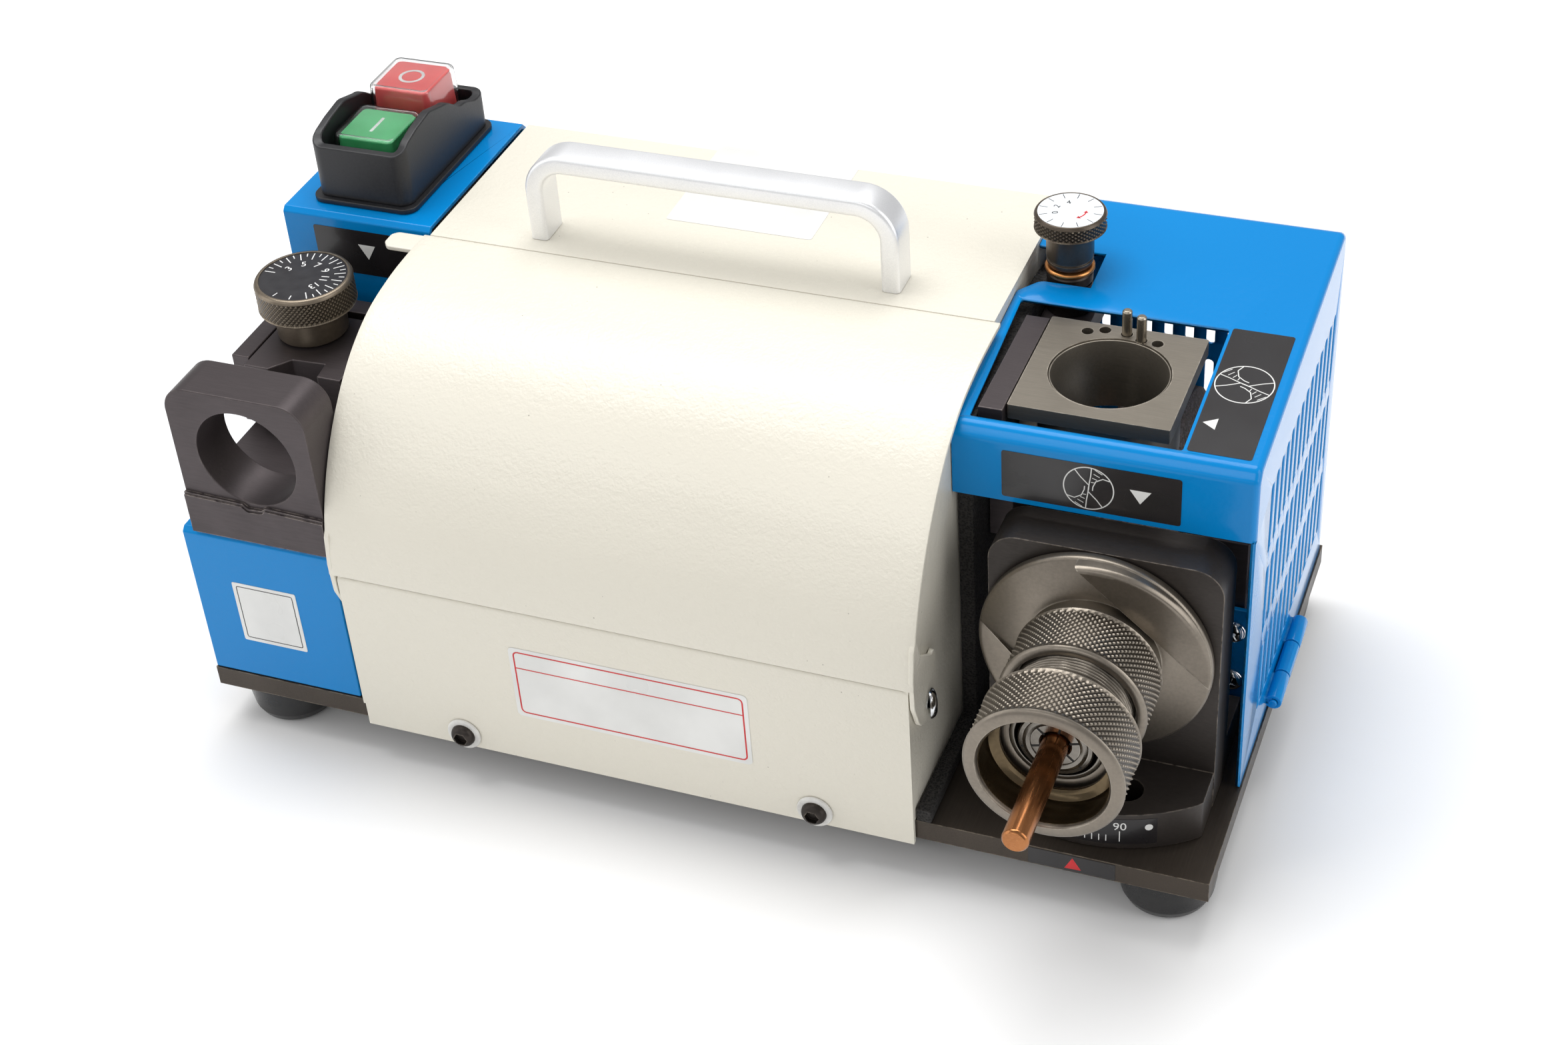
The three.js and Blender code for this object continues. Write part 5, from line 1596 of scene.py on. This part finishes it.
def drill_end(x, y, r, turn):
    """A drill's end drawn in lines: rim, cutting lips, flute edges and hatched lands."""
    spin = Matrix.Rotation(turn, 2)

    def put(points):
        return [spin @ Vector(p) * r + Vector((x, y)) for p in points]

    strokes = [ribbon(put(circle(0, 0, 1, 56)), 0.34, True)]
    for s in (1, -1):
        strokes.append(ribbon(put([(s * px, s * py) for px,
                                   py in ((0.98, -0.02), (0.6, -0.03), (0.12, -0.10))]), 0.30))
        strokes.append(ribbon(put([(s * px, s * py) for px,
                                   py in ((0.10, 0.98), (-0.12, 0.78), (-0.14, 0.45), (0.02, 0.2),
                                          (0.16, 0.08))]), 0.30))
        strokes.append(ribbon(put([(s * px, s * py) for px,
                                   py in ((-0.74, 0.66), (-0.45, 0.42), (-0.16, 0.14), (0.08, -0.06))]),
                              0.30))
        for k in range(4):
            strokes.append(ribbon(put([(s * (-0.62 + 0.14 * k), s * (0.74 - 0.16 * k)),
                                       (s * (-0.30 + 0.06 * k), s * (0.88 - 0.17 * k))]), 0.22))
    return strokes


def label(name, outline, art, origin, right, up, body, ground, colour, thick=0.07):
    """Film, and the print on it as its own thin layer."""
    parts = [printed([patch(outline)], origin, right, up, thick, ground)]
    if art:
        out = Vector(right).normalized().cross(Vector(up).normalized())
        raised = tuple(Vector(origin) + out * (thick + 0.005))
        parts += [printed([stroke], tuple(Vector(raised) + out * 0.0007 * k), right, up, 0.02, colour)
                  for k, stroke in enumerate(art)]
    join_piece(name, gathered(*parts), None, body, None)


upright = ((1, 0, 0), (0, 0, 1))
top_front_y, top_front_z, top_label_y, film_gap = 42.6, 120.5, 45.3, 0.04
rise = Vector((0, 153.4 - top_front_y, 127.3 - top_front_z)).normalized()
outward = Vector((1, 0, 0)).cross(rise)
start_z = top_front_z + (top_label_y - top_front_y) * rise.z / rise.y
start_point = Vector((307.2, top_label_y, start_z)) + outward * film_gap
label("hood_top_label", sheet_outline(-8.8, 0, 8.8, 55.4),
      [*drill_end(-0.2, 31.2, 8.1, 0.35), patch([(-7.4, 12.6), (-3.6, 10.2), (-3.6, 15.0)])],
      tuple(start_point), (1, 0, 0), tuple(rise), "hood", film_black, film_white)
label("hood_lip_label", sheet_outline(248.6, 99.0, 298.9, 114.6),
      [*drill_end(273.2, 106.6, 7.0, -0.95), patch([(284.6, 108.6), (290.6, 108.6), (287.6, 104.2)])],
      (0, 39.96, 0), *upright, "hood", film_black, film_white)
label("setting_arrow_label", sheet_outline(10.5, 106, 45.2, 122),
      [patch([(25.6, 117.0), (31.6, 117.0), (28.6, 111.8)])], (0, 85.36, 0), *upright, "frame", film_black,
      film_white)
label("base_pointer_label", sheet_outline(267.7, 0.3, 293.2, 6.4, 0.3),
      [patch([(278.4, 1.2), (283.3, 1.4), (280.7, 5.6)])], (0, -0.04, 0), *upright, "frame", film_black,
      arrow_red)
border = [ribbon(sheet_outline(110.6, 18.6, 183.4, 42.4, 1.5), 0.5, True),
          ribbon([(110.6, 36.2), (183.4, 36.2)], 0.4)]
label("blank_maker_plate", sheet_outline(109, 17, 185, 44, 1.5), border, (0, -2.06, 0), *upright, "frame",
      film_white, arrow_red)
label("blank_rear_sticker", sheet_outline(121, 109.3, 168.4, 155.6, 1.0), None, (0, 0, 127.04), (1, 0, 0),
      (0, 1, 0), "frame", film_white, film_white)
label("approval_patch", sheet_outline(13.8, 21.7, 36.1, 44.8, 0.6),
      [ribbon(sheet_outline(15.2, 23.1, 34.7, 43.4, 0.6), 0.3, True)], (0, 0.26, 0), *upright, "frame",
      film_white, film_black)


def wrapped(parts, radius, middle, thick, material):
    """Flat marks rolled round the foot's front edge: across becomes angle about the pivot, up stays up."""
    mesh = printed(parts, (0, 0, 0), (1, 0, 0), (0, 1, 0), thick, material)
    home = at(0, 0, 0)
    for v in mesh.vertices:
        across, height, out = (v.co - home) / MM
        a = -math.pi / 2 + (across + middle) / foot_radius
        v.co = at(pivot_x + (radius + out) * math.cos(a), pivot_y + (radius + out) * math.sin(a), height)
    return mesh


def strip(x0, x1, y0, y1, step=0.6):
    count = max(2, int((x1 - x0) / step))
    xs = [x0 + (x1 - x0) * i / count for i in range(count + 1)]
    verts = [Vector((x, y)) for x in xs for y in (y0, y1)]
    return verts, [(2 * i, 2 * i + 2, 2 * i + 3, 2 * i + 1) for i in range(count)]


scale_marks = [strip(t - 0.14, t + 0.14, 10.2, 12.6 + 1.6 * long) for t,
               long in ((-10, 1), (-8, 0), (-6, 0), (-4, 0), (-2, 0), (0, 1), (2, 0), (4, 0), (6, 0),
                        (8, 0), (11.8, 1))]
scale_marks += [strip(-21.0 + i * 1.0, -20.8 + i * 1.0, 10.2, 11.4) for i in range(9)]
scale_marks += [figure("90", 4.0, 11.8, 15.9), figure("118", 4.0, 0.6, 15.9), figure("135", 4.0, -10, 15.9),
                patch(circle(20.0, 15.6, 1.15, 24))]
join_piece("foot_scale_label", gathered(wrapped([strip(-23, 22.4, 9.2, 18.8)], 48.53, 0, 0.06, film_black),
                                        wrapped(scale_marks, 48.6, 0, 0.02, film_white)), None, "seat", None)

# ---------------------------------------------------------------------------
# Collet rack: a blued plate folded under the lid with five spare collets standing in it,
# bored 3, 5, 7, 10 and 13 mm. The collets are ground spring steel.
spare_bores = (3, 5, 7, 10, 13)
rack_x, rack_pitch, rack_y = 80, 32, 26
holes = [circle(rack_x + rack_pitch * i, rack_y, 9.2, 48) for i in range(len(spare_bores))]
rack = outline_prism([(58, 3), (230.5, 3), (230.5, 45), (58, 45)], 60, 63, "Z", holes)
join_piece("collet_rack_plate", broken_edges(rack, 0.4, 2, 30), base_steel, "frame", "black_oxide_steel",
           "collet_rack")
for i, bore in enumerate(spare_bores):
    x = rack_x + rack_pitch * i
    spare = turned(eased([(bore / 2, 52), (6.4, 52), (8.6, 60), (8.7, 63.3), (10.4, 63.3), (10.4, 70),
                          (9.7, 70.4), (9.7, 72), (10.4, 72.4), (10.4, 78), (7.6, 82), (bore / 2, 82)],
                         0.25, 3), (x, rack_y, 0), "Z", 72)
    # painted shade: thin near-black prisms on each spare collet's end stand for the dark slits of its six saw
    # cuts
    spare_cut_shades = []
    for k in range(6):
        inner = bore / 2 + 0.15
        blade = spoke(x, rack_y, math.pi / 3 * k + 0.2,
                      ((inner, -0.3), (7.4, -0.3), (7.4, 0.3), (inner, 0.3)))
        spare_cut_shades.append(outline_prism(blade, 81.8, 82.04))
    spare_cut_shades = [coated(cut, painted_cut_shade) for cut in spare_cut_shades]
    join_piece("spare_collet_%d" % bore, gathered(coated(spare, bright_steel), *spare_cut_shades), None, "frame",
               "nickel_steel", "stored_collet_%d" % bore)

# ---------------------------------------------------------------------------
# Motor: a painted cylindrical shell with cooling ribs, a wound core inside, a shaft on
# two bearings, a plastic fan on its tail and the grinding wheel nutted on its nose.
spin_y, spin_z = 104, 56
motor_paint = worked_metal("motor_paint", (0.075, 0.082, 0.085), (0.3, 0.3, 0.29), 0.42, 0.25,
                           (300.0, 300.0, 300.0), 0.00003, 0.8)
ribs = []
for i in range(28):
    x = 84 + i * 4.0
    ribs += [(46.0, x), (47.0, x + 0.6), (47.0, x + 2.2), (46.0, x + 2.8)]
shell = turned(eased([(12.5, 76), (43.0, 76), (46.0, 79.5), *ribs, (46.0, 199.0), (43.0, 202), (12.5, 202),
                      (12.5, 196), (43.6, 196), (43.6, 82), (12.5, 82)], 0.2, 1), (0, spin_y, spin_z), "X",
               128)
join_piece("motor_shell", shell, motor_paint, "frame", "motor_grey", "motor_housing")
winding = worked_metal("copper_winding", (0.36, 0.13, 0.04), (0.6, 0.3, 0.14), 0.35, 0.8,
                       (3000.0, 600.0, 600.0), 0.00006, 0.6)
core = turned(eased([(28, 104), (42.8, 104), (42.8, 176), (28, 176)], 2.4, 4), (0, spin_y, spin_z), "X", 96)
join_piece("motor_core", core, winding, "frame", "winding_iron", "motor_stator")
rotor = turned_bar([(0, 60), (5.6, 60), (6, 60.5), (6, 110), (27, 110), (27, 170), (8, 170), (8, 250),
                    (11, 250), (11, 263.7), (7.6, 263.7), (7.6, 297.4), (7.0, 298), (0, 298)], 0.3, 2,
                   (0, spin_y, spin_z), "X", 96)
join_piece("rotor_and_shaft", rotor, ground_steel, "spindle", "machined_steel", "rotor_shaft")
for side, x0, inner in (("left", 76.5, 6.4), ("right", 196.5, 8.4)):
    race = turned(eased([(inner, x0), (8.9 if side == "left" else 9.6, x0),
                         (9.0 if side == "left" else 9.7, x0 + 0.5), (10.6, x0 + 0.5), (10.7, x0),
                         (12.1, x0), (12.1, x0 + 5), (inner, x0 + 5)], 0.2, 2), (0, spin_y, spin_z), "X",
                  72)
    join_piece("bearing_" + side, race, bright_chrome, "frame", "bright_chrome", "motor_bearing_" + side)
hub = turned(eased([(6.4, 61), (40, 61), (40, 62.6), (14, 62.8), (14, 72), (6.4, 72)], 0.4, 2),
             (0, spin_y, spin_z), "X", 72)
blades = []
for k in range(12):
    curve = ((14.5, -0.6), (27, 1.4), (39.4, 5.0), (39.0, 6.4), (26.6, 2.8), (14.5, 0.6))
    blades.append(outline_prism(spoke(spin_y, spin_z, 2 * math.pi * k / 12, curve), 62.4, 63.98, "X"))
join_piece("cooling_fan_moulded", gathered(hub, *blades), moulded, "spindle", "black_plastic", "cooling_fan")

# Grinding wheel: grey-brown bonded grit, dressed true, clamped under a hexagon nut.
grit, tree, shader = blank_material("bonded_grit")
place = object_place(tree)
grains = node(tree, "ShaderNodeTexVoronoi", {"Vector": place, "Scale": 1800.0})
cloud = mottled(tree, place, 60.0, 4.0)
tone = ramp(tree, grains.outputs["Color"], [(0.2, (0.10, 0.085, 0.075)), (0.55, (0.24, 0.20, 0.18)),
                                            (0.85, (0.40, 0.36, 0.33))])
tree.links.new(blend_colour(tree, cloud.outputs[0], tone, (0.2, 0.16, 0.14)), shader.inputs["Base Color"])
ramped(tree, shader, "Roughness", cloud.outputs[0], [(0.3, 0.75), (0.7, 0.95)])
bumped(tree, shader, grains.outputs["Distance"], 0.7, 0.0002)
wheel = turned(eased([(7.9, 264), (30, 264), (36, 267), (36, 285), (30, 288), (18, 288), (17, 286.8),
                      (7.9, 286.8)], 0.3, 2), (0, spin_y, spin_z), "X", 128)
join_piece("grinding_wheel_bonded", wheel, grit, "spindle", "abrasive", "grinding_wheel")
hexagon = circle(spin_y, spin_z, 12, 6)
nut_block = outline_prism(hexagon, 288.3, 296, "X", [circle(spin_y, spin_z, 8, 36)])
join_piece("wheel_nut_hexagon", broken_edges(nut_block, 0.6, 3, 30), ground_steel, "spindle",
           "machined_steel", "wheel_nut")
